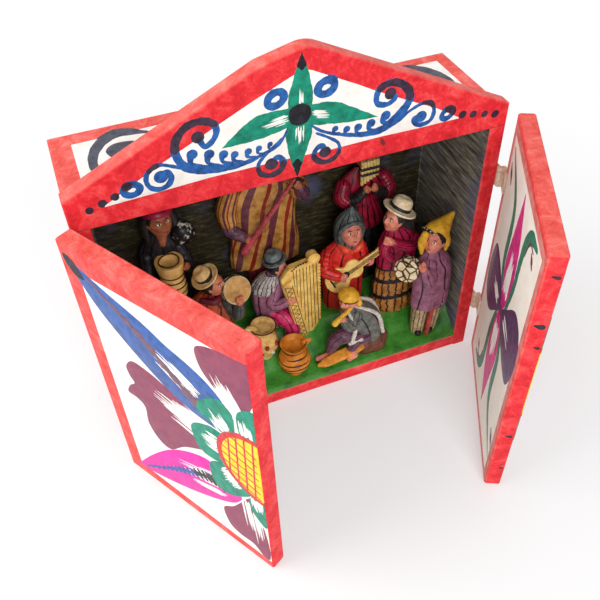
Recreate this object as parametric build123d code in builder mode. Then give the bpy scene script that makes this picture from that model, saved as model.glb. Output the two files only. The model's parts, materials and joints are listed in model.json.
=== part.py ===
"""Retablo box: a nailed wooden case with a gabled front, two doors on leather straps and a band of
paste figures on a sloping ground.

Millimetres, +X to the right, +Y to the back, +Z up. The origin is the middle of the case's footprint on
the table. The doors stand open, as they do when the scene is shown.
"""

import os
from math import cos, pi, radians, sin

from build123d import *

os.makedirs("parts", exist_ok=True)

# Case
box_width = 200.0
box_depth = 62.0
side_height = 150.0
side_thickness = 8.0
floor_thickness = 8.0
roof_thickness = 8.0
back_thickness = 3.0
worn_edge = 1.2

# Gable board: heights above the tops of the sides
gable_thickness = 8.0
gable_apex = 59.0
gable_apex_x = 4.0
gable_shoulder = 54.0
gable_shoulder_x = -17.0
gable_left_end = 15.5
gable_right_end = 11.5
gable_apex_round = 14.0
gable_shoulder_round = 30.0
gable_end_round = 5.0

# Doors: the closed place and how far each stands open
door_meeting_gap = 4.8
door_over_sides = 6.5
door_width = (box_width - door_meeting_gap) / 2
door_height = side_height + door_over_sides
door_thickness = 8.0
door_lift = 1.0
door_edge_inset = 0.4
door_closed_gap = 1.5
left_open = 58.84
right_open = 63.49

# Turning axes of the leather hinges, out from the case's side and forward of its front
left_axis_out = 2.36
left_axis_forward = 3.48
right_axis_out = 2.27
right_axis_forward = -0.95

# Leather straps, by their middle heights
strap_width = 12.0
strap_thickness = 1.2
strap_wall_leaf = 15.0
strap_door_leaf = 6.0
strap_lead = 1.0
strap_bend = 1.2
strap_glue = 0.1
upper_strap_drop = 28.0
upper_strap_height = side_height - upper_strap_drop
lower_strap_height = 36.0

# Nails and tacks
nail_shank = 0.7
nail_head = 1.5
nail_head_thickness = 0.6
nail_length = 18.0
back_nail_length = 11.0
nail_end_margin = 14.0
tack_length = 6.0
tack_spacing = 6.0
nail_sides = 6

# Ground: heights above the floor board at the front, at the foot of the slope, at its brow and at the back
ground_inset = 0.6
ground_lip = 1.5
ground_foot_depth = 12.0
ground_foot = 4.5
ground_brow_depth = 30.0
ground_brow = 16.5
ground_back = 22.0
bank_width = 12.0
bank_rise = 9.0
bank_start_depth = 2.0
bank_full_depth = 15.0
figure_root = 0.4
body_sides = 12
head_sides = 10
limb_sides = 8
limb_lap = 0.45
pot_sides = 16
bout_sides = 24

# Places worked out from the case
half_width = box_width / 2
front = -box_depth / 2
inner_half = half_width - side_thickness
inner_depth = box_depth - back_thickness
roof_depth = box_depth - gable_thickness


def ground_level(depth):
    """Height of the ground at a depth behind the case's front: three straight slopes."""
    stops = [
        (0.0, ground_lip),
        (ground_foot_depth, ground_foot),
        (ground_brow_depth, ground_brow),
        (inner_depth, ground_back),
    ]
    for (d0, h0), (d1, h1) in zip(stops, stops[1:]):
        if depth <= d1:
            return floor_thickness + h0 + (h1 - h0) * (depth - d0) / (d1 - d0)
    return floor_thickness + ground_back


class Spot:
    """A place on the ground, as shares of the half width and of the depth inside the case."""

    def __init__(self, across, deep):
        self.x = across * inner_half
        self.depth = deep * inner_depth
        self.level = ground_level(self.depth)

    def point(self, right, back, up):
        """A point right of, behind and above this place."""
        return Vector(self.x + right, front + self.depth + back, self.level + up)


def ring(plane, half_width, half_depth, sides):
    """Points around an oval on a plane."""
    turns = [2 * pi * i / sides for i in range(sides)]
    return [plane.from_local_coords((half_width * cos(t), half_depth * sin(t))) for t in turns]


def facets(rings):
    """A solid of flat facets through rings with the same number of points, closed at both ends."""
    faces = [Face(Wire.make_polygon(end)) for end in (rings[0], rings[-1])]
    for lower, upper in zip(rings, rings[1:]):
        for i in range(len(lower)):
            faces.append(Face(Wire.make_polygon([lower[i - 1], lower[i], upper[i], upper[i - 1]])))
    return Solid(Shell(faces))


def add_stack(spot, flatness, rows, rooted=True):
    """Join level ovals, each (height, half width, right, back), into one faceted body.

    All the ovals of one stack share a flatness, half depth over half width, so every facet is a plane.
    """
    rings = []
    for height, half_w, right, back in rows:
        centre = spot.point(right, back, height)
        if rooted and not rings:
            centre.Z = floor_thickness + figure_root
        rings.append(ring(Plane(centre), half_w, flatness * half_w, body_sides))
    add(facets(rings))


def add_spool(centre, axis, rows, sides=head_sides, mode=Mode.ADD):
    """Join rounds on one axis, each (distance along it, radius), into one faceted body."""
    direction = Vector(*axis).normalized()
    rings = []
    for along, radius in rows:
        plane = Plane(centre + direction * along, x_dir=(1, 0.1, 0), z_dir=direction)
        rings.append(ring(plane, radius, radius, sides))
    add(facets(rings), mode=mode)


def add_ball(centre, radius, height):
    """Join a head-like ball: rounds whose radii follow a cosine from pole to pole."""
    rows = []
    for latitude in (-78, -45, -12, 20, 50, 78):
        rows.append((height / 2 * sin(radians(latitude)), radius * cos(radians(latitude))))
    add_spool(centre, (0, 0, 1), rows)


def add_limb(place, path, radii):
    """Join an arm, leg or lock of hair: straight tapering runs between placed points, lapped at bends."""
    points = [place(*step) for step in path]
    for start, end, start_radius, end_radius in zip(points, points[1:], radii, radii[1:]):
        direction = (end - start).normalized()
        rings = []
        for point, lap, radius in ((start, -limb_lap, start_radius), (end, limb_lap, end_radius)):
            plane = Plane(point + direction * (lap * radius), z_dir=direction)
            rings.append(ring(plane, radius, radius, limb_sides))
        add(facets(rings))


def add_hat(centre, axis, brim, crown, height):
    """Join a brimmed hat: a thin flared brim and a crown that narrows to a flat top."""
    rows = [
        (-1.2, 0.82 * brim),
        (-0.4, brim),
        (0.7, 0.97 * brim),
        (1.2, crown),
        (0.75 * height, 0.9 * crown),
        (height, 0.6 * crown),
    ]
    add_spool(centre, axis, rows, body_sides)


def save(piece, name):
    """Label a finished piece and write it as its own file."""
    piece.label = name
    export_step(piece, f"parts/{name}.step")


def nail(head, direction, length):
    """Join one nail whose head's top is at a point and whose shank runs along a direction."""
    along = Vector(*direction)
    for start, radius, run in (
        (0.0, nail_head, nail_head_thickness),
        (nail_head_thickness, nail_shank, length - nail_head_thickness),
    ):
        side = (0, 0, 1) if abs(along.Z) < 0.5 else (1, 0, 0)
        with BuildSketch(Plane(head + along * start, x_dir=side, z_dir=along)) as section:
            RegularPolygon(radius, nail_sides)
        extrude(section.sketch, amount=run)


# Leather hinges: where each door hangs
def hinge_axis(side):
    """Plan position of a door's turning axis; side is -1 for the left door and 1 for the right."""
    out = left_axis_out if side < 0 else right_axis_out
    forward = left_axis_forward if side < 0 else right_axis_forward
    return Vector(side * (half_width + out), front - forward, 0)


def door_plane(side):
    """Inner face of an open door: origin at its hinge corner, X along its width, normal outwards."""
    turn = radians(left_open if side < 0 else right_open)
    axis = hinge_axis(side)
    closed = Vector(side * (half_width - door_edge_inset), front - door_closed_gap, 0)
    corner = axis + (closed - axis).rotate(Axis.Z, side * (left_open if side < 0 else right_open))
    return Plane(
        corner + Vector(0, 0, door_lift),
        x_dir=(cos(turn), side * sin(turn), 0),
        z_dir=(side * sin(turn), -cos(turn), 0),
    )


def strap_path(side):
    """Plan points along a strap's middle: the wall leaf, the free bend and the leaf on the door."""
    hinge = door_plane(side)
    wall_x = side * (half_width + strap_thickness / 2)
    corner = hinge.origin - hinge.z_dir * (strap_thickness / 2 + strap_glue)
    inward = hinge.x_dir * -side
    end = corner + inward * strap_door_leaf
    return [
        (wall_x, front + strap_wall_leaf),
        (wall_x, front - strap_lead),
        (corner.X, corner.Y),
        (end.X, end.Y),
    ]


strap_heights = {"upper": upper_strap_height, "lower": lower_strap_height}
sides = {"left": -1, "right": 1}

# Tacks that hold the straps to the case's outer faces
with BuildPart() as strap_tacks:
    for side in sides.values():
        for height in strap_heights.values():
            for step in (0.5, 1.5):
                tack_y = front + strap_wall_leaf - 1.5 - step * tack_spacing
                tack_x = side * (half_width + strap_thickness + nail_head_thickness)
                nail(Vector(tack_x, tack_y, height), (-side, 0, 0), tack_length)
save(strap_tacks.part, "strap_tacks")

for side_name, side in sides.items():
    for level, height in strap_heights.items():
        with BuildPart() as strap:
            with BuildSketch(Plane.XY.offset(height - strap_width / 2)) as strip:
                with BuildLine():
                    FilletPolyline(*strap_path(side), radius=strap_bend)
                trace(line_width=strap_thickness)
            extrude(amount=strap_width)
            add(strap_tacks.part, mode=Mode.SUBTRACT)
        save(strap.part, f"{side_name}_{level}_strap")

# Nails through the roof into the sides, through the sides into the floor, and through the back board
roof_top = side_height + roof_thickness
roof_nail_depths = [gable_thickness + nail_end_margin, box_depth - nail_end_margin]
with BuildPart() as roof_nails:
    for side in sides.values():
        for depth in roof_nail_depths:
            head = Vector(side * (half_width - side_thickness / 2), front + depth, roof_top)
            nail(head, (0, 0, -1), nail_length)
save(roof_nails.part, "roof_nails")

with BuildPart() as floor_nails:
    for side in sides.values():
        for depth in (nail_end_margin, inner_depth - nail_end_margin):
            head = Vector(side * half_width, front + depth, floor_thickness / 2)
            nail(head, (-side, 0, 0), nail_length)
save(floor_nails.part, "floor_nails")

with BuildPart() as back_nails:
    for side in sides.values():
        for height in (nail_end_margin, side_height / 2, side_height - nail_end_margin):
            head = Vector(side * (half_width - side_thickness / 2), -front, height)
            nail(head, (0, -1, 0), back_nail_length)
save(back_nails.part, "back_nails")

# Side boards, full height, with worn front arrises
for side_name, side in sides.items():
    with BuildPart() as side_board:
        with BuildSketch(Plane.XY) as plan:
            with Locations((side * (half_width - side_thickness / 2), front + inner_depth / 2)):
                Rectangle(side_thickness, inner_depth)
        extrude(amount=side_height)
        fillet(side_board.edges().filter_by(Axis.Z).group_by(Axis.Y)[0], worn_edge)
        for nails in (strap_tacks, roof_nails, floor_nails, back_nails):
            add(nails.part, mode=Mode.SUBTRACT)
    save(side_board.part, f"{side_name}_side_board")

# Floor board between the sides
with BuildPart() as floor_board:
    with BuildSketch(Plane.XY) as plan:
        with Locations((0, front + inner_depth / 2)):
            Rectangle(2 * inner_half, inner_depth)
    extrude(amount=floor_thickness)
    front_face = floor_board.faces().sort_by(Axis.Y)[0]
    fillet(front_face.edges().filter_by(Axis.X), worn_edge)
    add(floor_nails.part, mode=Mode.SUBTRACT)
save(floor_board.part, "floor_board")

# Thin back board nailed over the rear edges
with BuildPart() as back_board:
    with BuildSketch(Plane.XY) as plan:
        with Locations((0, -front - back_thickness / 2)):
            Rectangle(box_width, back_thickness)
    extrude(amount=side_height)
    add(back_nails.part, mode=Mode.SUBTRACT)
save(back_board.part, "back_board")

# Roof board, behind the gable board
with BuildPart() as roof_board:
    with BuildSketch(Plane.XY.offset(side_height)) as plan:
        with Locations((0, -front - roof_depth / 2)):
            Rectangle(box_width, roof_depth)
    extrude(amount=roof_thickness)
    top_face = roof_board.faces().sort_by(Axis.Z)[-1]
    worn = [edge for edge in top_face.edges() if edge.center().Y > front + gable_thickness + worn_edge]
    fillet(worn, worn_edge)
    add(roof_nails.part, mode=Mode.SUBTRACT)
save(roof_board.part, "roof_board")

# Gable board, standing on the sides with a soft left shoulder and rounded ends
front_plane = Plane((0, front, side_height), x_dir=(1, 0, 0), z_dir=(0, -1, 0))
with BuildPart() as gable_board:
    with BuildSketch(front_plane) as outline:
        with BuildLine():
            Polyline(
                (-half_width, 0),
                (half_width, 0),
                (half_width, gable_right_end),
                (gable_apex_x, gable_apex),
                (gable_shoulder_x, gable_shoulder),
                (-half_width, gable_left_end),
                close=True,
            )
        make_face()
        corners = outline.vertices().sort_by(Axis.Y)
        fillet(corners[-1], gable_apex_round)
        fillet(corners[-2], gable_shoulder_round)
        fillet([corners[2], corners[3]], gable_end_round)
    extrude(amount=-gable_thickness)
    front_face = gable_board.faces().sort_by(Axis.Y)[0]
    rear_face = gable_board.faces().sort_by(Axis.Y)[-1]
    upper_rear = [edge for edge in rear_face.edges() if edge.center().Z > roof_top + worn_edge]
    fillet(front_face.edges(), worn_edge)
    fillet(upper_rear, worn_edge)
save(gable_board.part, "gable_board")

# Doors, each a board with worn edges
for side_name, side in sides.items():
    with BuildPart() as door:
        with BuildSketch(door_plane(side)) as leaf:
            with Locations((-side * door_width / 2, door_height / 2)):
                Rectangle(door_width, door_height)
        extrude(amount=door_thickness)
        fillet(door.edges().filter_by(Axis.Z), worn_edge)
        rims = door.faces().filter_by(Axis.Z).edges()
        chamfer(rims, worn_edge / 2)
    save(door.part, f"{side_name}_door")

# Ground of green paste: three slopes from the front lip to the back, banked up at both sides
with BuildPart() as ground:
    with BuildSketch(Plane.YZ) as section:
        with BuildLine():
            Polyline(
                (front + ground_inset, floor_thickness),
                (-front - back_thickness, floor_thickness),
                (-front - back_thickness, ground_level(inner_depth)),
                (front + ground_brow_depth, ground_level(ground_brow_depth)),
                (front + ground_foot_depth, ground_level(ground_foot_depth)),
                (front + ground_inset, ground_level(0)),
                close=True,
            )
        make_face()
    extrude(amount=inner_half, both=True)
    for side in sides.values():
        wall = side * inner_half
        bank = []
        for depth, share in ((bank_start_depth, 0.1), (bank_full_depth, 1.0), (inner_depth, 0.6)):
            base = ground_level(depth) - ground_lip
            with BuildSketch(Plane((0, front + depth, 0), x_dir=(1, 0, 0), z_dir=(0, -1, 0))) as wedge:
                Polygon(
                    (wall - side * bank_width, base),
                    (wall, base),
                    (wall, ground_level(depth) + share * bank_rise),
                    align=None,
                )
            bank.append(wedge.sketch.face())
        loft(bank, ruled=True)
save(ground.part, "ground")


def add_pot(foot, profile):
    """Join a pot from (radius, height) points up its outside to the rim, then the bottom of its mouth."""
    outside = [(height, radius) for radius, height in profile[:-1]]
    add_spool(foot, (0, 0, 1), outside, pot_sides)
    rim_radius, rim_height = profile[-2]
    mouth_radius, mouth_height = profile[-1]
    mouth = [(mouth_height, mouth_radius), (rim_height, rim_radius - pot_lip)]
    add_spool(foot, (0, 0, 1), mouth, pot_sides, Mode.SUBTRACT)


def drum_shell(centre, axis, radius, depth):
    """A hand drum: two rimmed skins on a slightly waisted shell."""
    with BuildPart() as shell:
        rows = [
            (-0.5 * depth, 0.93 * radius),
            (-0.38 * depth, radius),
            (-0.2 * depth, 0.94 * radius),
            (0.2 * depth, 0.94 * radius),
            (0.38 * depth, radius),
            (0.5 * depth, 0.93 * radius),
        ]
        add_spool(centre, axis, rows, body_sides)
    return shell.part


# Pots on the ground: (radius, height) up the outside to the rim, then the bottom of the mouth
pot_lip = 1.0
pitcher_spot = Spot(-0.06, 0.186)
pitcher_profile = [
    (5.6, -3.0),
    (5.8, 0.5),
    (8.6, 4.0),
    (9.2, 7.5),
    (8.2, 11.0),
    (5.6, 14.0),
    (5.6, 15.5),
    (7.6, 19.8),
    (4.6, 17.0),
]
with BuildPart() as pitcher:
    add_pot(pitcher_spot.point(0, 0, 0), pitcher_profile)
    add_limb(pitcher_spot.point, ((6.4, 0, 17.6), (9.6, 0, 18.8)), (2.0, 1.0))
    add(ground.part, mode=Mode.SUBTRACT)
save(pitcher.part, "pitcher")

jug_spot = Spot(-0.206, 0.39)
jug_profile = [
    (5.0, -6.0),
    (5.2, 0.0),
    (7.8, 4.5),
    (8.0, 8.5),
    (6.6, 12.5),
    (5.2, 15.0),
    (7.4, 20.2),
    (4.4, 17.6),
]
with BuildPart() as painted_jug:
    add_pot(jug_spot.point(0, 0, 0), jug_profile)
    add(ground.part, mode=Mode.SUBTRACT)
save(painted_jug.part, "painted_jug")

# Boulder that the flute player sits on
player_spot = Spot(0.37, 0.2)
with BuildPart() as boulder:
    boulder_rows = [
        (0, 10.5, 7.5, -0.5),
        (5.0, 11.0, 7.5, -0.5),
        (9.0, 9.5, 6.5, 0),
        (11.5, 6.0, 5.0, 0.5),
    ]
    add_stack(player_spot, 0.67, boulder_rows)
    add(ground.part, mode=Mode.SUBTRACT)
save(boulder.part, "boulder")

# Seated flute player in a striped poncho and a cap
with BuildPart() as flute:
    add_limb(player_spot.point, ((-9.6, -9.4, 43.6), (-20.0, -9.8, 34.0)), (1.2, 1.7))
save(flute.part, "flute")

with BuildPart() as flute_player:
    poncho = [
        (8.0, 11.0, 4.0, 0),
        (18.0, 12.0, 2.5, 0.5),
        (27.0, 11.0, 0, 0.5),
        (34.0, 8.0, -3.5, 0),
        (40.0, 4.4, -6.6, -2.0),
    ]
    add_stack(player_spot, 0.68, poncho, rooted=False)
    add_ball(player_spot.point(-8.0, -3.5, 44.0), 5.6, 13.0)
    add_spool(
        player_spot.point(-8.0, -3.0, 45.5),
        (0.1, 0.1, 1),
        [(0, 6.3), (1.2, 6.4), (3.2, 5.6), (5.2, 2.6)],
    )
    add_limb(player_spot.point, ((-1, -3, 13), (-15, -4, 16.5), (-18.5, -3, 6)), (5.0, 4.2, 2.9))
    add_limb(player_spot.point, ((-18.5, -3, 3.5), (-26.5, -1.5, 1.5)), (2.8, 2.0))
    add_limb(player_spot.point, ((-4, -5, 32), (-8, -9.4, 26), (-15.5, -10.2, 36)), (3.8, 3.6, 2.6))
    for neighbour in (flute, boulder, ground):
        add(neighbour.part, mode=Mode.SUBTRACT)
save(flute_player.part, "flute_player")

# Guitarist in a hood
guitarist_spot = Spot(0.386, 0.644)
guitar_centre = guitarist_spot.point(-7.5, -9.2, 27.5)
guitar_plane = Plane(guitar_centre, x_dir=(0.87, 0, 0.45), z_dir=(-0.15, -0.88, 0.36))
guitar_body = 3.2
guitar_neck = 2.2
with BuildPart() as guitar:
    with BuildSketch(guitar_plane) as bouts:
        RegularPolygon(7.4, bout_sides)
        with Locations((10.5, 0)):
            RegularPolygon(5.6, bout_sides)
        with Locations((6.0, 0)):
            Rectangle(8.0, 8.4)
    extrude(amount=guitar_body)
    with BuildSketch(guitar_plane.offset(guitar_body - guitar_neck)) as neck:
        with Locations((20.5, 0)):
            Rectangle(13.0, 2.8)
        with Locations((29.0, 0)):
            Trapezoid(6.0, 4.6, 80, rotation=90)
    extrude(amount=guitar_neck)
    with BuildSketch(guitar_plane.offset(guitar_body)) as sound_hole:
        with Locations((5.5, 0)):
            Circle(1.9)
    extrude(amount=-0.8, mode=Mode.SUBTRACT)
save(guitar.part, "guitar")

with BuildPart() as guitarist:
    robe = [
        (0, 12.0, 0, 0),
        (12, 12.0, 0, 0),
        (24, 12.6, 0, -0.2),
        (34, 13.0, -0.4, -0.4),
        (42, 11.0, 0, -0.8),
        (48, 7.0, 1.0, -1.8),
    ]
    add_stack(guitarist_spot, 0.58, robe)
    add_ball(guitarist_spot.point(2.0, -4.5, 54.5), 6.8, 16.5)
    add_spool(
        guitarist_spot.point(2.0, -1.8, 48.0),
        (0.12, 0, 1),
        [(-2, 7.0), (4, 8.2), (10, 7.8), (15, 5.2), (18, 2.2), (20.4, 0.8)],
    )
    add_limb(guitarist_spot.point, ((-10, -1, 40), (-13.6, -8, 34.5), (-5.2, -13.4, 31.5)), (3.8, 4.0, 2.6))
    add_limb(guitarist_spot.point, ((9.5, -1, 40), (10.6, -5, 33), (11.5, -12.0, 36.5)), (3.8, 3.8, 2.5))
    for neighbour in (guitar, ground):
        add(neighbour.part, mode=Mode.SUBTRACT)
save(guitarist.part, "guitarist")

# Harpist and harp
harpist_spot = Spot(-0.098, 0.644)
harp_thickness = 4.0
harp_plane = Plane(harpist_spot.point(0, -9.0, 0), x_dir=(1, 0, 0), z_dir=(0, -1, 0))
scroll_radius = 3.4
with BuildPart() as harp:
    with BuildSketch(harp_plane) as frame_outline:
        with BuildLine():
            Polyline((8.0, 47.5), (3.0, 39.5), (11.5, -9.0), (18.5, -9.0), (24.8, 2.5), (24.8, 49.5))
            ThreePointArc((24.8, 49.5), (16.5, 51.5), (8.0, 47.5))
        make_face()
        with Locations((21.6, 51.2)):
            Circle(scroll_radius)
    extrude(amount=harp_thickness)
    with BuildSketch(harp_plane.offset(harp_thickness)) as sound_box:
        with BuildLine():
            Polyline((3.6, 39.0), (11.8, -8.6), (18.0, -8.6), (8.6, 41.0), close=True)
        make_face()
    extrude(amount=1.6, taper=12)
    add(ground.part, mode=Mode.SUBTRACT)
save(harp.part, "harp")

with BuildPart() as harpist:
    coat = [
        (0, 8.0, 0, 0),
        (8, 9.0, -0.5, 0),
        (18, 9.6, -1.0, 0),
        (28, 9.4, -0.5, -0.3),
        (34, 7.8, 0.5, -0.8),
        (38.5, 4.2, 3.0, -1.5),
    ]
    add_stack(harpist_spot, 0.77, coat)
    add_ball(harpist_spot.point(4.6, -2.4, 42.5), 5.2, 12.5)
    add_hat(harpist_spot.point(4.2, -1.9, 47.0), (-0.06, 0, 1), 7.6, 5.4, 6.2)
    add_limb(harpist_spot.point, ((0, -3, 9), (8, -10, 4.5), (6.5, -14.5, -6.5)), (5.6, 5.2, 3.4))
    add_limb(harpist_spot.point, ((3, -4, 32), (-1, -9, 21), (9.0, -13.6, 27.0)), (3.8, 3.6, 2.4))
    for neighbour in (harp, ground):
        add(neighbour.part, mode=Mode.SUBTRACT)
save(harpist.part, "harpist")

# Drummer in a straw hat
drummer_spot = Spot(-0.478, 0.576)
hand_drum = drum_shell(drummer_spot.point(13.2, -8.6, 45.0), (0.15, -0.85, 0.5), 7.7, 5.0)
save(hand_drum, "hand_drum")

with BuildPart() as drummer:
    tunic = [
        (0, 11.0, 0, 0),
        (13, 11.4, 0, 0),
        (26, 11.6, 0, 0),
        (35, 10.6, 0, -0.3),
        (40, 7.6, 0.5, -1.0),
        (44, 4.6, 1.5, -2.0),
    ]
    add_stack(drummer_spot, 0.69, tunic)
    add_ball(drummer_spot.point(2.0, -3.0, 48.5), 5.8, 13.5)
    add_hat(drummer_spot.point(-1.2, -1.2, 53.0), (-0.16, -0.1, 1), 8.2, 5.6, 7.2)
    add_limb(drummer_spot.point, ((8, -4, 37), (12, -9.5, 27), (12.8, -13.6, 39.5)), (3.9, 3.7, 2.8))
    add_limb(drummer_spot.point, ((7, -1, 38), (12, -2.5, 39), (13.6, -4.6, 45)), (3.6, 3.2, 2.4))
    add(hand_drum, mode=Mode.SUBTRACT)
    add(ground.part, mode=Mode.SUBTRACT)
save(drummer.part, "drummer")

# Woman with a ringed jar
jar_woman_spot = Spot(-0.674, 0.881)
jar_foot = jar_woman_spot.point(1.8, -11.2, 33.0)
jar_profile = [
    (4.8, 0.0),
    (6.6, 4.0),
    (7.0, 9.0),
    (6.4, 14.0),
    (6.0, 17.0),
    (7.3, 24.0),
    (7.4, 26.4),
    (5.0, 23.8),
]
with BuildPart() as ringed_jar:
    add_pot(jar_foot, jar_profile)
save(ringed_jar.part, "ringed_jar")

with BuildPart() as jar_woman:
    dress = [
        (0, 13.0, 0, 0),
        (20, 13.0, 0, 0),
        (40, 12.4, 0, 0),
        (55, 12.2, 0, 0),
        (63, 10.6, 0.5, -0.2),
        (68, 7.4, 1.0, -1.0),
        (73, 6.0, 1.5, -1.5),
    ]
    add_stack(jar_woman_spot, 0.47, dress)
    add_ball(jar_woman_spot.point(2.0, -2.4, 78.5), 7.2, 18.0)
    add_ball(jar_woman_spot.point(1.6, -0.9, 80.0), 7.3, 18.6)
    add_spool(
        jar_woman_spot.point(1.6, -1.3, 84.0),
        (0, 0, 1),
        [(-1.2, 7.2), (-0.8, 7.8), (1.2, 7.6), (1.6, 6.8)],
    )
    add_ball(jar_woman_spot.point(12.5, -2.6, 68.0), 6.4, 13.0)
    add_limb(jar_woman_spot.point, ((9, -2, 60), (11.5, -7, 50), (9.6, -12, 54)), (3.8, 3.6, 2.6))
    add_limb(jar_woman_spot.point, ((-8, -2, 58), (-9.5, -7, 44), (-5.6, -13, 38.5)), (3.8, 3.6, 2.8))
    for neighbour in (ringed_jar, ground):
        add(neighbour.part, mode=Mode.SUBTRACT)
save(jar_woman.part, "jar_woman")

# Tall violinist in a striped poncho; the height follows the headroom under the roof
violinist_spot = Spot(-0.065, 0.885)
violinist_headroom = 8.0
violinist_height = side_height - violinist_headroom - violinist_spot.level


def violinist_point(right, back, share):
    """A point on the violinist, with its height as a share of the figure's."""
    return violinist_spot.point(right, back, share * violinist_height)


violin_centre = violinist_point(4.5, -9.6, 0.855)
violin_plane = Plane(violin_centre, x_dir=(0.8, -0.05, -0.55), z_dir=(0.35, -0.75, 0.55))
violin_body = 2.6
with BuildPart() as violin:
    with BuildSketch(violin_plane) as violin_outline:
        RegularPolygon(4.8, bout_sides)
        with Locations((7.0, 0)):
            RegularPolygon(4.0, bout_sides)
        with Locations((4.0, 0)):
            Rectangle(6.0, 5.6)
    extrude(amount=violin_body)
    with BuildSketch(violin_plane.offset(0.6)) as fingerboard:
        with Locations((14.0, 0)):
            Rectangle(8.0, 1.9)
        with Locations((18.4, 0)):
            Circle(1.8)
    extrude(amount=1.8)
save(violin.part, "violin")

bow_start = violinist_point(-14.0, -9.4, 0.438)
bow_end = violinist_point(14.0, -15.4, 0.82)
with BuildPart() as violin_bow:
    grip = bow_start + (bow_end - bow_start) * 0.22
    add_limb(Vector, (bow_start, grip, bow_end), (1.9, 1.4, 0.8))
save(violin_bow.part, "violin_bow")

with BuildPart() as violinist:
    trousers = [(0, 10.5, 1.0, 0), (0.33, 11.0, 0, 0)]
    poncho = [
        (0.316, 18.5, 1.5, 0),
        (0.5, 17.5, 1.0, 0),
        (0.64, 19.5, 0, 0),
        (0.72, 20.5, 0, 0),
        (0.79, 15.5, 0, 0),
        (0.84, 8.0, 0, 0),
    ]
    legs_rows = [(share * violinist_height, *row) for share, *row in trousers]
    poncho_rows = [(share * violinist_height, *row) for share, *row in poncho]
    add_stack(violinist_spot, 0.5, legs_rows)
    add_stack(violinist_spot, 0.29, poncho_rows, rooted=False)
    add_spool(violinist_point(0, -0.6, 0.78), (0, 0, 1), [(0, 4.8), (0.1 * violinist_height, 4.6)])
    add_ball(violinist_point(0, -0.8, 0.92), 6.2, 0.16 * violinist_height)
    add_limb(violinist_point, ((-16, -1, 0.74), (-20.5, -4, 0.6), (-10, -9.4, 0.5)), (4.6, 4.2, 2.8))
    add_limb(violinist_point, ((15, -1, 0.74), (22, -4.5, 0.66), (16.2, -11.4, 0.775)), (4.4, 4.0, 2.5))
    for neighbour in (violin, violin_bow, harpist, ground):
        add(neighbour.part, mode=Mode.SUBTRACT)
save(violinist.part, "violinist")

# Panpipe player
piper_spot = Spot(0.57, 0.885)
pipe_radius = 1.0
pipe_pitch = 1.75
pipe_count = 6
pipe_top = 88.0
pipe_longest = 18.0
pipe_step = 1.1
with BuildPart() as panpipes:
    for i in range(pipe_count):
        across = (i - (pipe_count - 1) / 2) * pipe_pitch
        with BuildSketch(Plane(piper_spot.point(across, -9.0, pipe_top))) as tube:
            RegularPolygon(pipe_radius, limb_sides)
        extrude(amount=-(pipe_longest - i * pipe_step))
    with BuildSketch(Plane(piper_spot.point(0, -9.0, pipe_top - 5.0))) as binding:
        Rectangle(pipe_count * pipe_pitch + 0.6, 2 * pipe_radius + 0.8)
    extrude(amount=-1.6)
save(panpipes.part, "panpipes")

with BuildPart() as panpiper:
    coat = [
        (0, 12.0, 0, 0),
        (24, 12.0, 0, 0),
        (44, 12.6, 0, 0),
        (60, 14.5, 0, 0),
        (67, 15.0, 0, 0),
        (74, 11.5, 0, -0.2),
        (80, 6.0, 0, -0.8),
    ]
    add_stack(piper_spot, 0.4, coat)
    add_ball(piper_spot.point(0, -1.2, 86.0), 6.2, 16.0)
    add_spool(
        piper_spot.point(0, 0, 87.5),
        (0, 0.05, 1),
        [(0, 6.0), (1.5, 6.4), (7, 5.6), (12, 2.8), (14.5, 0.8)],
    )
    for turn in (-1, 1):
        shoulder_to_hand = ((turn * 11.5, -1.4, 70), (turn * 14.2, -5.4, 62), (turn * 3.2, -9.6, 68.0))
        add_limb(piper_spot.point, shoulder_to_hand, (4.4, 4.0, 2.8))
    for neighbour in (panpipes, guitarist, ground):
        add(neighbour.part, mode=Mode.SUBTRACT)
save(panpiper.part, "panpiper")

# Singing woman in a straw hat, shawl and tiered skirt
singer_spot = Spot(0.7, 0.495)
with BuildPart() as singer:
    skirt = [
        (0, 13.8, 0, 0),
        (8, 13.4, 0, 0),
        (8.6, 12.4, 0, 0),
        (20, 12.6, 0, 0),
        (20.6, 11.4, 0, 0),
        (32, 10.8, 0, 0),
        (36, 8.8, 0, 0),
    ]
    shawl = [(37, 10.6, 0, 0), (45, 11.4, 0.3, 0), (51, 9.8, 0, -0.4), (57, 6.0, -2.0, -1.0)]
    add_stack(singer_spot, 0.56, skirt)
    add_stack(singer_spot, 0.62, [(34, 8.2, 0, 0)] + shawl, rooted=False)
    add_ball(singer_spot.point(-4.2, -1.8, 63.5), 6.0, 15.5)
    add_hat(singer_spot.point(-0.4, -0.8, 68.4), (0.5, 0.05, 0.86), 10.4, 6.8, 9.0)
    add_limb(singer_spot.point, ((0.5, 1, 66), (4.5, 2, 55), (5.5, 2.5, 44)), (5.4, 4.6, 3.6))
    add_limb(singer_spot.point, ((-7, -3, 49), (-10, -7.2, 45), (-10.5, -8.6, 56.5)), (3.6, 3.2, 2.5))
    add_limb(singer_spot.point, ((7.5, -3, 48), (8.5, -6.4, 42), (1.5, -8.6, 44)), (3.6, 3.2, 2.4))
    for neighbour in (guitar, guitarist, panpiper, ground):
        add(neighbour.part, mode=Mode.SUBTRACT)
save(singer.part, "singer")

# Man in a pointed knitted cap with a small drum
capped_spot = Spot(0.856, 0.203)
small_drum = drum_shell(capped_spot.point(-18.0, -3.4, 54.0), (-0.72, -0.62, 0.3), 7.4, 7.0)
save(small_drum, "small_drum")

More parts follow.
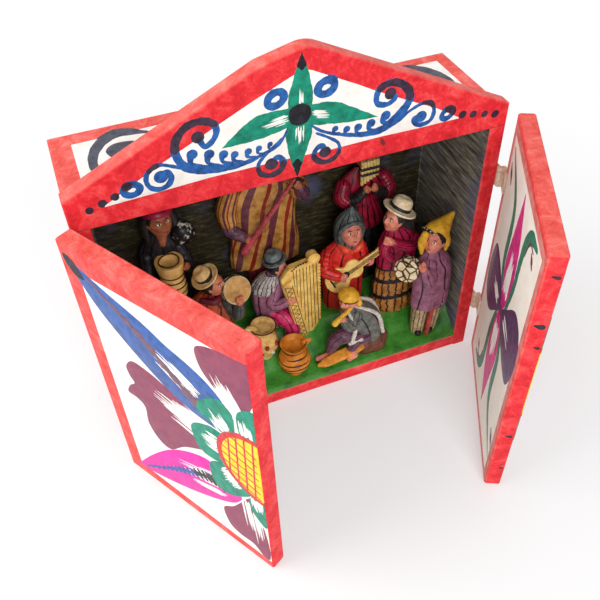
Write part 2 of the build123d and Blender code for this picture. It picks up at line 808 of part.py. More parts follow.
with BuildPart() as capped_man:
    trousers = [(0, 7.6, -3.0, -1.0), (10, 8.6, -2.0, -0.5), (20, 9.6, -0.6, 0)]
    coat = [
        (19.6, 11.4, 0, 0),
        (34, 11.6, 0.3, 0),
        (47, 11.0, 0, 0),
        (55, 8.6, -1.0, -0.5),
        (63.5, 5.2, -2.4, -1.6),
    ]
    add_stack(capped_spot, 0.73, trousers)
    add_stack(capped_spot, 0.65, coat, rooted=False)
    add_ball(capped_spot.point(-3.0, -1.8, 69.0), 6.2, 15.5)
    add_spool(
        capped_spot.point(-2.6, -0.6, 70.0),
        (0.74, 0.06, 0.62),
        [(-2.5, 6.6), (0, 7.2), (4, 6.8), (9, 4.2), (14, 1.9), (16.6, 0.8)],
    )
    add_limb(capped_spot.point, ((-8.0, -3.0, 73.5), (-9.6, -4.0, 68), (-10.2, -4.6, 62)), (2.6, 3.0, 1.2))
    add_limb(capped_spot.point, ((4.0, 0.4, 71), (5.6, 0.4, 65), (6.0, 0.4, 59)), (2.8, 2.8, 1.2))
    add_limb(capped_spot.point, ((-6, -4, 53), (-8, -8.4, 43), (-12.5, -6.0, 57)), (4.0, 3.8, 2.7))
    add(small_drum, mode=Mode.SUBTRACT)
    add(ground.part, mode=Mode.SUBTRACT)
save(capped_man.part, "capped_man")
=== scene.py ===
"""Retablo box: brushed paint, leather hinges and a band of paste figures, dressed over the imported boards.

Sizes are in millimetres in the box's own frame, +X right, +Y back and +Z up, and become metres in the mesh.
"""

import json
from functools import partial

import bpy
import numpy as np
from bpy.props import FloatProperty, FloatVectorProperty, PointerProperty
from mathutils import Matrix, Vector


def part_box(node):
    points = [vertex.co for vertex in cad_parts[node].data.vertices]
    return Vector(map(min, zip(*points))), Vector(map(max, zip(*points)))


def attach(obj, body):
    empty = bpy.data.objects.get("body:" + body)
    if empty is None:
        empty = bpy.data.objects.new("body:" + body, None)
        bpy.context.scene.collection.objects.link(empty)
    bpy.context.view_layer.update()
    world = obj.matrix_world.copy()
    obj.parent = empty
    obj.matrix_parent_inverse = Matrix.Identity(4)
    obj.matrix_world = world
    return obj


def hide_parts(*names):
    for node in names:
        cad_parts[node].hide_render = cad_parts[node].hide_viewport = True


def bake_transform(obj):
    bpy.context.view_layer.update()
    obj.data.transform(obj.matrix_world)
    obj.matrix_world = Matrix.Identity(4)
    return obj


bl_info = {
    "name": "Retablo Box",
    "version": (1, 0, 0),
    "blender": (4, 5, 0),
    "location": "View3D > Sidebar > Retablo",
    "description": "Paint, leather, paste figures and light for a folding shrine box",
    "category": "Object",
}

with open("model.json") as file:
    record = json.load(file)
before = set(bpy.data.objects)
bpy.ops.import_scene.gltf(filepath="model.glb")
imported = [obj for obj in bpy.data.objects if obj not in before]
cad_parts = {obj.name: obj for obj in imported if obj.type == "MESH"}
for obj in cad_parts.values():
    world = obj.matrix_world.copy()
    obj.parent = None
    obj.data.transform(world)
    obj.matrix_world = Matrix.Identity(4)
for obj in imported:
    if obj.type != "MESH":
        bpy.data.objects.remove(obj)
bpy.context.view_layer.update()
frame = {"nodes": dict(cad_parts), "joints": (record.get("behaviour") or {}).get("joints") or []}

MM = 0.001
TURN = 2 * np.pi
# How far, in millimetres, the rim of a coat of paint dips under the face it lies on
SINK = 0.02
# Edges sharper than this angle, in radians, are shaded as edges
SHARP = 0.9
chance = np.random.default_rng(7)


def linear(code):
    """An sRGB hex colour as linear red, green, blue and a full alpha; a linear colour stays as it is."""
    if not isinstance(code, str):
        return code
    srgb = np.array([int(code[i : i + 2], 16) for i in (0, 2, 4)]) / 255
    light = np.where(srgb <= 0.04045, srgb / 12.92, ((srgb + 0.055) / 1.055) ** 2.4)
    return (*light.tolist(), 1.0)


def colour_property(name, description, code):
    """A colour that a user can change, given by its sRGB hex."""
    return FloatVectorProperty(
        name=name, description=description, subtype="COLOR", size=4, min=0, max=1, default=linear(code)
    )


class RetabloColours(bpy.types.PropertyGroup):
    """Main paints of the box."""

    case_red: colour_property("Case red", "Red of the boards", "E82A34")
    ground_white: colour_property("White", "White that the flowers are painted on", "FAF8F3")
    scroll_blue: colour_property("Scroll blue", "Blue of the gable's scrolls", "2A68B2")
    star_green: colour_property("Star green", "Green of the gable's star and of the flowers", "14977A")
    petal_plum: colour_property("Petal plum", "Plum of the large petals", "96485F")
    leaf_pink: colour_property("Leaf pink", "Magenta of the pointed leaves", "F02CAC")
    grass: colour_property("Grass", "Green of the paste ground", "4A9A36")
    hide: colour_property("Hide", "Leather of the hinges", "F0DCC6")
    floor: colour_property("Floor", "Studio floor", "F2F2F2")


class RetabloSizes(bpy.types.PropertyGroup):
    """Sizes of the finish and of the stage."""

    paint: FloatProperty(
        name="Paint", description="Thickness of one coat of paint", default=0.03 * MM, unit="LENGTH"
    )
    ripple: FloatProperty(
        name="Ripple", description="Height of the ground's soft lumps", default=0.35 * MM, unit="LENGTH"
    )
    floor: FloatProperty(name="Floor", description="Width of the floor", default=6.0, unit="LENGTH")
    lens: FloatProperty(name="Lens", description="Focal length of the camera", default=43.69, unit="CAMERA")


def colours():
    """The scene's paints."""
    return bpy.context.scene.retablo_colours


def sizes():
    """The scene's sizes."""
    return bpy.context.scene.retablo_sizes


# Materials

# Sockets of a node that mixes colours: its factor, the colour below, the one above and the result
FACTOR, UNDER, OVER, MIXED = 0, 6, 7, 2


def add_node(tree, kind, values=None, stops=(), **settings):
    """Add a shader node and give its outputs: a value that is a socket is linked, any other is set.

    Stops are the (place, colour) marks of a ramp and settings the node's own properties.
    """
    node = tree.nodes.new("ShaderNode" + kind)
    for key, value in settings.items():
        setattr(node, key, value)
    for key, value in (values or {}).items():
        if isinstance(value, bpy.types.NodeSocket):
            tree.links.new(value, node.inputs[key])
        else:
            node.inputs[key].default_value = value
    for i, (place, colour) in enumerate(stops):
        marks = node.color_ramp.elements
        mark = marks[i] if i < 2 else marks.new(place)
        mark.position, mark.color = place, linear(colour)
    return node.outputs


def per_mm(size):
    """How many cells of a pattern fit in a metre when one cell is this many millimetres."""
    return 1 / (size * MM)


def new_tree(name):
    """A material of this name, and the function that adds nodes to its empty tree."""
    material = bpy.data.materials.new(name)
    material.use_nodes = True
    material.node_tree.nodes.clear()
    return material, partial(add_node, material.node_tree)


def finish_tree(add, colour, height, relief, roughness, coat=0.0):
    """Close a material: its colour, a relief of so many millimetres from a height, and its gloss."""
    bump = add("Bump", {"Height": height, "Strength": 1.0, "Distance": relief * MM})
    gloss = {"Roughness": roughness, "IOR": 1.3, "Coat Weight": coat, "Coat Roughness": 0.15}
    shader = add("BsdfPrincipled", {"Base Color": colour, "Normal": bump["Normal"], **gloss})
    add("OutputMaterial", {"Surface": shader["BSDF"]})


def painted(
    name, light, dark, patch=5.0, roughness=0.4, edge=0.24, share=0.48, grit=0.6, relief=0.12, coat=0.0,
    stripes=(), lines=0, cells=0.0,
):
    """Water paint brushed on by hand: thin and thick patches between two tones over a slightly gritty skin.

    The edge is how softly the tones meet and the share how far the dark one spreads. Stripes are (place,
    colour) stops round the piece's own UV map, lines a number of dark fold lines round it. Cells of so many
    millimetres are outlined in dark paint.
    """
    material, add = new_tree(name)
    place = add("TexCoord")
    patches = add(
        "TexNoise", {"Vector": place["Object"], "Scale": per_mm(patch), "Detail": 5.0, "Roughness": 0.65},
    )
    tone = add("ValToRGB", {"Fac": patches["Fac"]}, [(share - edge / 2, dark), (share + edge / 2, light)])
    colour, layers = tone["Color"], []
    if stripes:
        split = add("SeparateXYZ", {"Vector": place["UV"]})
        layers = [add("ValToRGB", {"Fac": split["X"]}, stripes)["Color"]]
        layers[0].node.color_ramp.interpolation = "CONSTANT"
    if lines:
        wave = {"Scale": lines * TURN / 20, "Distortion": 2.5, "Detail": 2.0, "Detail Scale": 1.5}
        folds = add("TexWave", {"Vector": place["UV"], **wave}, bands_direction="X")
        thin = min(0.0012 * lines**2, 0.24)
        layers.append(
            add("ValToRGB", {"Fac": folds["Fac"]}, [(0.2 * thin, "4A3A40"), (thin, "FFFFFF")])["Color"]
        )
    if cells:
        patchwork = add(
            "TexVoronoi", {"Vector": place["Object"], "Scale": per_mm(cells)}, feature="DISTANCE_TO_EDGE",
        )
        drawn = add("ValToRGB", {"Fac": patchwork["Distance"]}, [(0.05, "4A3A30"), (0.11, "FFFFFF")])
        layers.append(drawn["Color"])
    for layer in layers:
        colour = add(
            "Mix", {FACTOR: 1.0, UNDER: colour, OVER: layer}, data_type="RGBA", blend_type="MULTIPLY",
        )[MIXED]
    skin = add("TexNoise", {"Vector": place["Object"], "Scale": per_mm(grit), "Detail": 2.0})
    finish_tree(add, colour, skin["Fac"], relief, roughness, coat)
    return material


def case_paint():
    """Red distemper on soft wood, brushed along the boards, with a dark brushed wash inside the case.

    The eye sees a strong red with paler and deeper strokes and small dark chips, with a painted highlight of
    pale coral on the faces that look up and to the left; inside, slanting strokes of olive over near-black,
    paler on the side walls, with blue-violet clouds toward the front.
    """
    material, add = new_tree("red_distemper_on_wood")
    place = add("TexCoord")
    split, facing = (add("SeparateXYZ", {"Vector": place[kind]}) for kind in ("Object", "Normal"))

    # Red strokes and chips
    brush = {"Scale": per_mm(7.0), "Detail": 8.0, "Roughness": 0.78, "Distortion": 0.6}
    strokes = add("TexNoise", {"Vector": place["Object"], **brush})
    red = add(
        "ValToRGB", {"Fac": strokes["Fac"]}, [(0.32, "BE1A24"), (0.5, colours().case_red), (0.7, "F8605C")],
    )
    speck = add(
        "TexNoise", {"Vector": place["Object"], "Scale": per_mm(11.0), "Detail": 3.0, "Roughness": 0.55},
    )
    chip = add("ValToRGB", {"Fac": speck["Fac"]}, [(0.245, "FFFFFF"), (0.265, "000000")])
    worn = add("Mix", {FACTOR: chip["Color"], UNDER: red["Color"], OVER: linear("7A2A26")}, data_type="RGBA")

    # Painted highlight: pale coral on the faces that look up and to the left, where the lamps fall most
    upward = add("MapRange", {"Value": facing["Z"], "From Min": 0.3, "From Max": 0.9, "To Max": 0.72})
    leftward = add("MapRange", {"Value": facing["X"], "From Min": -0.55, "From Max": -0.85, "To Max": 0.45})
    painted_highlight_mask = add("Math", {0: upward["Result"], 1: leftward["Result"]}, operation="MAXIMUM")
    highlight_coral = add("ValToRGB", {"Fac": strokes["Fac"]}, [(0.34, "E04A3C"), (0.5, "EE6E62"), (0.68, "F69488")])
    red_with_painted_highlight = add("Mix", {FACTOR: painted_highlight_mask[0], UNDER: worn[MIXED], OVER: highlight_coral["Color"]}, data_type="RGBA")

    # Slanting wash inside, olive on the back and paler on the side walls
    slant = add("Mapping", {"Vector": place["Object"], "Rotation": (0.5, 0.6, 0.0), "Scale": (1.0, 0.4, 4.0)})
    wash = add(
        "TexNoise", {"Vector": slant["Vector"], "Scale": per_mm(7.0), "Detail": 6.0, "Roughness": 0.75},
    )
    olive, pale = (
        add("ValToRGB", {"Fac": wash["Fac"]}, stops)
        for stops in ([(0.36, "18150D"), (0.5, "302A1A"), (0.6, "4C442C"), (0.74, "6E6444")],
                      [(0.36, "3E3C36"), (0.5, "827E72"), (0.62, "BEB8A4"), (0.75, "ECE6D0")])
    )
    across = add("Math", {0: split["X"]}, operation="ABSOLUTE")
    reach = {"From Min": (HALF_INNER - 0.5) * MM, "From Max": (HALF_INNER - 0.2) * MM, "To Max": 0.85}
    beside = add("MapRange", {"Value": across[0], **reach})
    sides = add(
        "Mix", {FACTOR: beside["Result"], UNDER: olive["Color"], OVER: pale["Color"]}, data_type="RGBA",
    )

    # Violet clouds, thicker toward the front
    cloud = add("TexNoise", {"Vector": place["Object"], "Scale": per_mm(30.0), "Detail": 4.0})
    reach = {"From Min": (FRONT + 30) * MM, "From Max": FRONT * MM, "To Max": 0.14}
    front = add("MapRange", {"Value": split["Y"], **reach})
    haze = add("Math", {0: cloud["Fac"], 1: front["Result"]}, operation="ADD")
    violet = add("ValToRGB", {"Fac": haze[0]}, [(0.54, "000000"), (0.66, "C8C8C8")])
    inside = add(
        "Mix", {FACTOR: violet["Color"], UNDER: sides[MIXED], OVER: linear("575C7E")}, data_type="RGBA",
    )

    # The wash stays within the walls, behind the front edges, under the roof and before the back
    room = 1.0
    for value, limit, test in (
        (across[0], HALF_INNER + 0.25, "LESS_THAN"), (split["Y"], FRONT + 1.2, "GREATER_THAN"),
        (split["Z"], roof_low[2] + 0.3, "LESS_THAN"), (split["Y"], back_low[1] + 0.3, "LESS_THAN"),
    ):
        within = add("Math", {0: value, 1: limit * MM}, operation=test)
        room = add("Math", {0: room, 1: within[0]}, operation="MULTIPLY")[0]
    # Outside the wash: the red with its painted coral highlight
    both = add("Mix", {FACTOR: room, UNDER: red_with_painted_highlight[MIXED], OVER: inside[MIXED]}, data_type="RGBA")
    grain = add(
        "TexNoise", {"Vector": place["Object"], "Scale": per_mm(1.1), "Detail": 4.0, "Roughness": 0.65},
    )
    finish_tree(add, both[MIXED], grain["Fac"], 0.35, 0.55)
    return material


# The case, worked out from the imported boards
(side_low, side_high), (back_low, _), (ground_low, _), (roof_low, roof_high) = (
    np.array(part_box(name)) / MM for name in ("right_side_board", "back_board", "ground", "roof_board")
)
FRONT = side_low[1]
HALF_INNER = side_low[0]
HALF_WIDTH = side_high[0]
FLOOR_TOP = ground_low[2]
INNER_DEPTH = back_low[1] - FRONT
# The tallest player ends this high, 8 mm under the roof
VIOLINIST_TOP = roof_low[2] - 8.0


# Surfaces


def unit(vectors):
    """Vectors at length one."""
    return vectors / np.linalg.norm(vectors, axis=-1, keepdims=True)


def circle(count):
    """Angles of so many points round a circle."""
    return np.linspace(0, TURN, count, endpoint=False)


def boxy(a):
    """A square with round corners: cos^0.3 and sin^0.3 of an angle, each with its sign."""
    return [np.sign(wave(a)) * np.abs(wave(a)) ** 0.3 for wave in (np.cos, np.sin)]


def through(points, count):
    """Points along a Catmull-Rom curve, the cubic through each point with the slope of its neighbours."""
    given = np.asarray(points, float)
    given = np.vstack([2 * given[0] - given[1], given, 2 * given[-1] - given[-2]])
    run = np.linspace(0, len(given) - 3, count)
    start = np.minimum(run.astype(int), len(given) - 4)
    t = (run - start)[:, None]
    a, b, c, d = (given[start + i] for i in range(4))
    return b + 0.5 * t * (c - a + t * (2 * a - 5 * b + 4 * c - d + t * (3 * (b - c) + d - a)))


def rounded(centre, half, degrees, bulge=1.0):
    """A run of half widths with a dome at each end: its places, half widths and directions.

    The dome's rings are half cos d wide and lie bulge half sin d beyond the end.
    """
    ahead = unit(np.gradient(centre, axis=0))
    dome, start, end = np.radians(degrees), [0] * len(degrees), [-1] * len(degrees)
    first = centre[0] - ahead[0] * (bulge * half[0] * np.sin(dome))[:, None]
    last = centre[-1] + ahead[-1] * (bulge * half[-1] * np.sin(dome[::-1]))[:, None]
    half = np.concatenate([half[0] * np.cos(dome), half, half[-1] * np.cos(dome[::-1])])
    return np.concatenate([first, centre, last]), half, np.concatenate([ahead[start], ahead, ahead[end]])


class Form:
    """A piece's surfaces: grids of points, each with a material, gathered into one mesh.

    The foot is the place that the shapes of paste are measured from.
    """

    def __init__(self, name, foot=(0, 0, 0)):
        self.name, self.foot, self.count = name, np.array(foot, float), 0
        self.points, self.materials = [], []
        # For squares and for triangles: faces, places on the UV map and slots of material
        self.squares, self.triangles = ([], [], []), ([], [], [])

    def skin(self, material):
        """The slot of a material or of a paste by name, added when it is new."""
        material = paste(material) if isinstance(material, str) else material
        if material not in self.materials:
            self.materials.append(material)
        return self.materials.index(material)

    def add(self, store, points, faces, uvs, material):
        """Keep some points and the faces on them."""
        skins = np.full(len(faces), self.skin(material))
        for kept, new in zip((self.points, *store), (points, faces, uvs, skins)):
            kept.append(new)
        self.count += len(points)

    def grid(self, points, material, wrap=False, caps=False):
        """Add a grid of points, rows by columns, that looks to the side of column times row.

        Wrap joins the last column to the first; caps close both ends with a fan to the middle.
        """
        rows, columns = points.shape[:2]
        index = self.count + np.arange(rows * columns).reshape(rows, columns)
        beside = np.roll(index, -1, axis=1)
        spans = columns if wrap else columns - 1
        quads = np.stack([index[:-1], beside[:-1], beside[1:], index[1:]], axis=-1)[:, :spans]
        u, v = np.meshgrid(np.arange(spans) / spans, np.arange(rows - 1) / (rows - 1))
        du, dv = 1 / spans, 1 / (rows - 1)
        corners = [(u, v), (u + du, v), (u + du, v + dv), (u, v + dv)]
        uvs = np.stack([np.stack(corner, -1) for corner in corners], axis=2).reshape(-1, 2)
        self.add(self.squares, points.reshape(-1, 3), quads.reshape(-1, 4), uvs, material)
        if caps:
            self.fan(index[0][::-1], points[0].mean(axis=0), material, 0.0)
            self.fan(index[-1], points[-1].mean(axis=0), material, 1.0)

    def fan(self, ring, middle, material, v=1.0):
        """Close a ring of points with triangles to its middle."""
        faces = np.stack([ring, np.roll(ring, -1), np.full(len(ring), self.count)], axis=-1)
        self.add(self.triangles, middle[None], faces, np.tile([[0.5, v]], (faces.size, 1)), material)

    def piece(self, body=None, slot=None, *stands_for):
        """Make the object, in metres, and say what it rides on and which boards it stands for."""
        mesh = bpy.data.meshes.new(self.name)
        faces, uvs, skins = (squares + triangles for squares, triangles in zip(self.squares, self.triangles))
        points = np.concatenate(self.points) * MM
        mesh.from_pydata(points.tolist(), [], [face for block in faces for face in block.tolist()])
        layer = mesh.uv_layers.new(name="UVMap")
        layer.data.foreach_set("uv", np.concatenate(uvs).ravel())
        mesh.polygons.foreach_set("material_index", np.concatenate(skins))
        for material in self.materials:
            mesh.materials.append(material)
        mesh.shade_smooth()
        mesh.set_sharp_from_angle(angle=SHARP)
        if mesh.validate():
            raise RuntimeError(f"{self.name} has faces that can't be made")
        piece = bpy.data.objects.new(self.name, mesh)
        bpy.context.scene.collection.objects.link(piece)
        if stands_for:
            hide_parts(*stands_for)
        if body:
            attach(piece, body)
        return piece


class Board:
    """A flat painted face: an origin, two directions in it and the way that it looks out."""

    def __init__(self, origin, along, rise, out):
        self.origin, self.along, self.rise, self.out = (
            np.array(v, float) for v in (origin, along, rise, out)
        )
        self.hand = np.sign(np.dot(np.cross(self.along, self.rise), self.out))

    def at(self, flat, lift):
        """Points of the face, lifted off it."""
        flat = np.asarray(flat, float)
        inside = flat[..., :1] * self.along + flat[..., 1:] * self.rise
        return self.origin + inside + np.asarray(lift)[..., None] * self.out

    def lifted(self, lift):
        """The same face, further out."""
        return Board(self.at((0, 0), lift), self.along, self.rise, self.out)


def coats(count):
    """The height of so many coats of paint, in millimetres."""
    return count * sizes().paint / MM


def stroke(form, board, path, widths, material, coat=1, steps=28):
    """A brush stroke: a ribbon of half width w(t) along a curve through the points, round at both ends.

    Its section is the low arch h(s) = top - (top + sink) s^6, so both edges dip under the face below it, and
    two sine waves of the run make the edge wander as a loaded brush does.
    """
    line = through(np.column_stack([path, np.broadcast_to(widths, len(path))]), steps)
    centre, half = line[:, :2], np.maximum(line[:, 2], 0.05)
    run = np.concatenate([[0], np.cumsum(np.linalg.norm(np.diff(centre, axis=0), axis=1))])
    half = half + np.minimum(0.1 * half, 0.12) * (np.sin(0.9 * run + path[0][0]) + 0.5 * np.sin(2.3 * run))
    centre, half, ahead = rounded(centre, half, [86, 66, 40, 18])
    right = board.hand * np.column_stack([ahead[:, 1], -ahead[:, 0]])
    s = np.array([-1, -0.9, -0.5, 0, 0.5, 0.9, 1])
    flat = centre[:, None] + right[:, None] * (half[:, None] * s)[..., None]
    top = coats(coat)
    lift = np.broadcast_to(top - (top + SINK) * s**6, flat.shape[:2])
    form.grid(board.at(flat, lift), material)


def dot(form, board, centre, radius, material, coat=1):
    """A round dab of paint: r(s) (cos a, sin a) about a centre, the same low arch from middle to edge."""
    a = circle(20) * board.hand
    s = np.array([1, 0.92, 0.5, 0.1])
    flat = np.array(centre) + radius * s[:, None, None] * np.stack([np.cos(a), np.sin(a)], -1)
    top = coats(coat)
    lift = np.broadcast_to((top - (top + SINK) * s**6)[:, None], (4, 20))
    form.grid(board.at(flat, lift), material, wrap=True)
    form.fan(form.count - 20 + np.arange(20), board.at(centre, top), material)


def sheet(form, board, lower, upper, material, coat=1, steps=60):
    """A patch of paint between two smooth edges: p(u, v) = (1 - v) lower(u) + v upper(u), its rim dipped."""
    u = np.concatenate([[0, 0.003], np.linspace(0.01, 0.99, steps), [0.997, 1]])
    v = np.array([0, 0.01, 0.35, 0.65, 0.99, 1])
    edges = []
    for edge in (lower, upper):
        edge = through(edge, 81) if len(edge) < 10 else np.asarray(edge, float)
        reach = np.linspace(0, 1, len(edge))
        edges.append(np.stack([np.interp(u, reach, edge[:, i]) for i in range(2)], -1))
    flat = edges[0] * (1 - v)[:, None, None] + edges[1] * v[:, None, None]
    rim = np.maximum(np.abs(2 * u - 1)[None] > 0.999, np.abs(2 * v - 1)[:, None] > 0.999)
    lift = np.where(rim, -SINK, coats(coat))
    form.grid(board.at(flat, lift)[:, :: int(board.hand)], material)


def blot(form, board, outline, material, coat=1, reach=np.inf):
    """A petal of paint: rings m + s (edge - m) about the middle m of a smooth closed outline, its rim dipped.

    The outline is the Catmull-Rom curve that closes on itself, kept short of reach along the board.
    """
    given, each = np.asarray(outline, float), 8
    edge = through(np.vstack([given[-1:], given, given[:2]]), (len(given) + 2) * each + 1)[each : -each - 1]
    edge[:, 0] = np.minimum(edge[:, 0], reach)
    after = np.roll(edge, -1, axis=0)
    turn = np.sign(np.sum(edge[:, 0] * after[:, 1] - edge[:, 1] * after[:, 0])) * board.hand
    edge, middle = edge[:: int(turn)], edge.mean(axis=0)
    s = np.array([1, 0.985, 0.6, 0.2])
    flat = middle + s[:, None, None] * (edge - middle)
    top = coats(coat)
    lift = np.broadcast_to(np.where(s == 1, -SINK, top)[:, None], flat.shape[:2])
    form.grid(board.at(flat, lift), material, wrap=True)
    ring = form.count - len(edge) + np.arange(len(edge))
    form.fan(ring, board.at(middle, top), material)


def bristles(form, board, foot, tip, spread, count, material, coat, width=0.4):
    """Dry brush marks: thin tapering ribbons from a foot toward a tip, starts and lengths by chance."""
    foot, run = np.array(foot, float), np.subtract(tip, foot).astype(float)
    square = np.array([run[1], -run[0]]) / np.linalg.norm(run)
    t = np.array([0, 0.12, 0.5, 0.85, 1])[:, None]
    half = width * np.array([0.1, 1, 0.8, 0.45, 0.05])[:, None]
    s = np.array([-1, -0.8, 0.8, 1])
    for step, place in enumerate(chance.uniform(-1, 1, count)):
        top = coats(coat + 3 * step / count)
        lift = np.broadcast_to(np.where(np.abs(s) == 1, -SINK, top), (5, 4))
        start = foot + place * spread * square + 0.25 * chance.random() * run
        long = 0.25 + 0.5 * chance.random() * (1 - 0.5 * abs(place))
        flat = (start + t * long * run)[:, None] + board.hand * square * (half * s)[..., None]
        form.grid(board.at(flat, lift), material)


# Case, gable, roof and doors


class RETABLO_OT_case(bpy.types.Operator):
    """Paint the boards, with the nails under the paint, and darken the tacks."""

    bl_idname = "retablo.case"
    bl_label = "Case and doors"

    def execute(self, context):
        paint = case_paint()
        # Blackened tacks: dull grey metal, rough from the forge
        steel, add = new_tree("blackened_nail_steel")
        rust = add("TexNoise", {"Vector": add("TexCoord")["Object"], "Scale": per_mm(1.2)})
        tone = add("ValToRGB", {"Fac": rust["Fac"]}, [(0.4, "4A4540"), (0.7, "8A837A")])
        finish_tree(add, tone["Color"], rust["Fac"], 0.1, 0.5)
        boards = ("left_side_board", "right_side_board", "floor_board", "back_board", "roof_board")
        nails = ("roof_nails", "floor_nails", "back_nails")
        for name in boards + nails + ("gable_board", "left_door", "right_door"):
            frame["nodes"][name].material_slots[0].material = paint
        frame["nodes"]["strap_tacks"].material_slots[0].material = steel
        return {"FINISHED"}


# The gable's white field: points of its upper and lower edges, from left to right
FIELD_TOP = np.array([
    (-84.7, 159.6), (-69.7, 167.6), (-59, 173), (-46.7, 178.6), (-35.2, 184), (-20, 191), (-3, 198.2),
    (3.2, 199.2), (24.9, 187.6), (32.4, 183.2), (48.4, 174.9), (62.4, 167.9), (73.9, 160.6),
])
FIELD_FOOT = np.array([
    (-84.7, 159.3), (-68.8, 159.8), (-40, 161), (-9, 160.8), (12, 160.2), (36, 160.6), (55, 160.2),
    (73.9, 160.3),
])
# Half widths of the two comb scrolls from the star to the inner end of the loop
COMB_SWELL = np.array([0.7, 0.9, 1.1, 1.6, 2.4, 2.8, 2.4, 2.0, 1.8, 1.7, 1.7, 1.7, 1.7, 1.6, 1.6])

# The scrolls' points from the star outward, the bulb that each winds into, and its half width
SCROLLS = (
    ([(-9.6, 171.1), (-16.3, 165.8), (-20, 161.8), (-19.6, 157.1), (-15.4, 154.9), (-10.8, 156.2),
      (-9.2, 160.1), (-11.6, 163)], (-14.5, 160.4), 1.45),
    ([(6.1, 169.8), (11.3, 166.5), (15.6, 162.7), (15.9, 158.4), (13, 155.3), (8.1, 155.1),
      (4.6, 158.6), (5.4, 162), (8.2, 163.3)], (9.6, 159.9), 1.35),
    ([(-5.7, 176.2), (-10.9, 168.8), (-17.5, 166.1), (-26.5, 163.9), (-35.9, 164.2), (-45.8, 166.4),
      (-51.2, 170), (-53.2, 176.6), (-51.8, 182), (-47.3, 186.3), (-41.4, 187.2), (-36.6, 184.8),
      (-36, 181.1), (-38, 177.6), (-41.4, 176)], (-43.5, 180.6), COMB_SWELL),
    ([(3.7, 174.1), (8.7, 170.1), (17.4, 166.4), (27.1, 164), (36.1, 164.4), (43, 168.9), (47.6, 174.2),
      (47.7, 179.5), (44.1, 183.6), (39.2, 185.4), (34.4, 184), (32.6, 180.5), (33.4, 177),
      (37.7, 175.8), (41, 177.8)], (38.9, 180.4), COMB_SWELL),
    ([(-42.1, 164.6), (-49.4, 167.4), (-56.3, 171), (-60.5, 172.4), (-64.5, 170.7), (-66.4, 167.2),
      (-65.5, 163.4), (-62.1, 161.4), (-58.2, 162.4), (-56.4, 165.6), (-57.8, 168.3)], (-60.4, 166.9), 1.5),
    ([(36.1, 163.4), (43.2, 166.1), (48.4, 169.9), (54.5, 172.2), (58.8, 171.4), (60.6, 167.3),
      (59.2, 162.9), (54.7, 161.8), (51.7, 163.3), (51.4, 165.6)], (54.5, 165.9), 1.4),
)
# The combs' teeth: bulb, foot and half width
HOOKS = (
    ((-47.4, 173.6), (-43.4, 167.3), 1.2), ((-40.6, 171.9), (-36.6, 165.8), 1.15),
    ((-34.8, 170.3), (-31, 165.4), 1.05), ((-30.2, 169), (-26.8, 165.2), 0.9),
    ((-24.4, 168.9), (-21.1, 165.8), 0.85), ((-19.8, 169.2), (-17.1, 166.3), 0.75),
    ((-14.9, 169.9), (-12.6, 167.5), 0.65), ((36.6, 170.4), (40.6, 166.8), 1.25),
    ((30, 168.4), (34, 164.6), 1.1), ((24.2, 168), (27.6, 164.6), 0.95), ((19, 168.4), (21.8, 165.6), 0.85),
    ((13.8, 169.9), (16, 167.6), 0.75),
)


def on_red(points):
    """Which points of the gable lie off its white field."""
    across, height = np.asarray(points, float)[:, :2].T
    return (height > np.interp(across, *FIELD_TOP.T)) | (height < np.interp(across, *FIELD_FOOT.T))


def gable_stroke(form, face, path, widths, paint, dark, coat=2, steps=48):
    """A brush stroke on the gable: its own colour on the white, nearly black where it runs over the red."""
    stroke(form, face, path, widths, paint, coat, steps)
    line = through(np.column_stack([path, np.broadcast_to(widths, len(path))]), steps)
    red = on_red(line)
    for run in np.split(np.arange(steps), np.flatnonzero(np.diff(red)) + 1):
        if not red[run[0]]:
            continue
        for end, inner in ((run[0], run[0] > 0), (run[-1], run[-1] < steps - 1)):
            gap = np.linalg.norm(line[run, :2] - line[end, :2], axis=1)
            run = run[gap >= 0.75 * inner * line[end, 2]]
        if len(run) > 2:
            stroke(form, face, line[run, :2], line[run, 2] + 0.05, dark, coat + 1, len(run))


def scroll(form, face, path, bulb, width, paint, dark):
    """A painted scroll: a stroke that swells along its run and winds into a round bulb."""
    swell = width * (np.linspace(0.55, 1.2, len(path)) if np.isscalar(width) else np.ones(len(path)))
    swell = np.append(swell, 1.1 * swell[-1])
    gable_stroke(form, face, [*path, bulb], swell, paint, dark, 2, 12 * len(path))
    dot(form, face, bulb, 1.6 * swell[-1], dark if on_red([bulb])[0] else paint, 4)


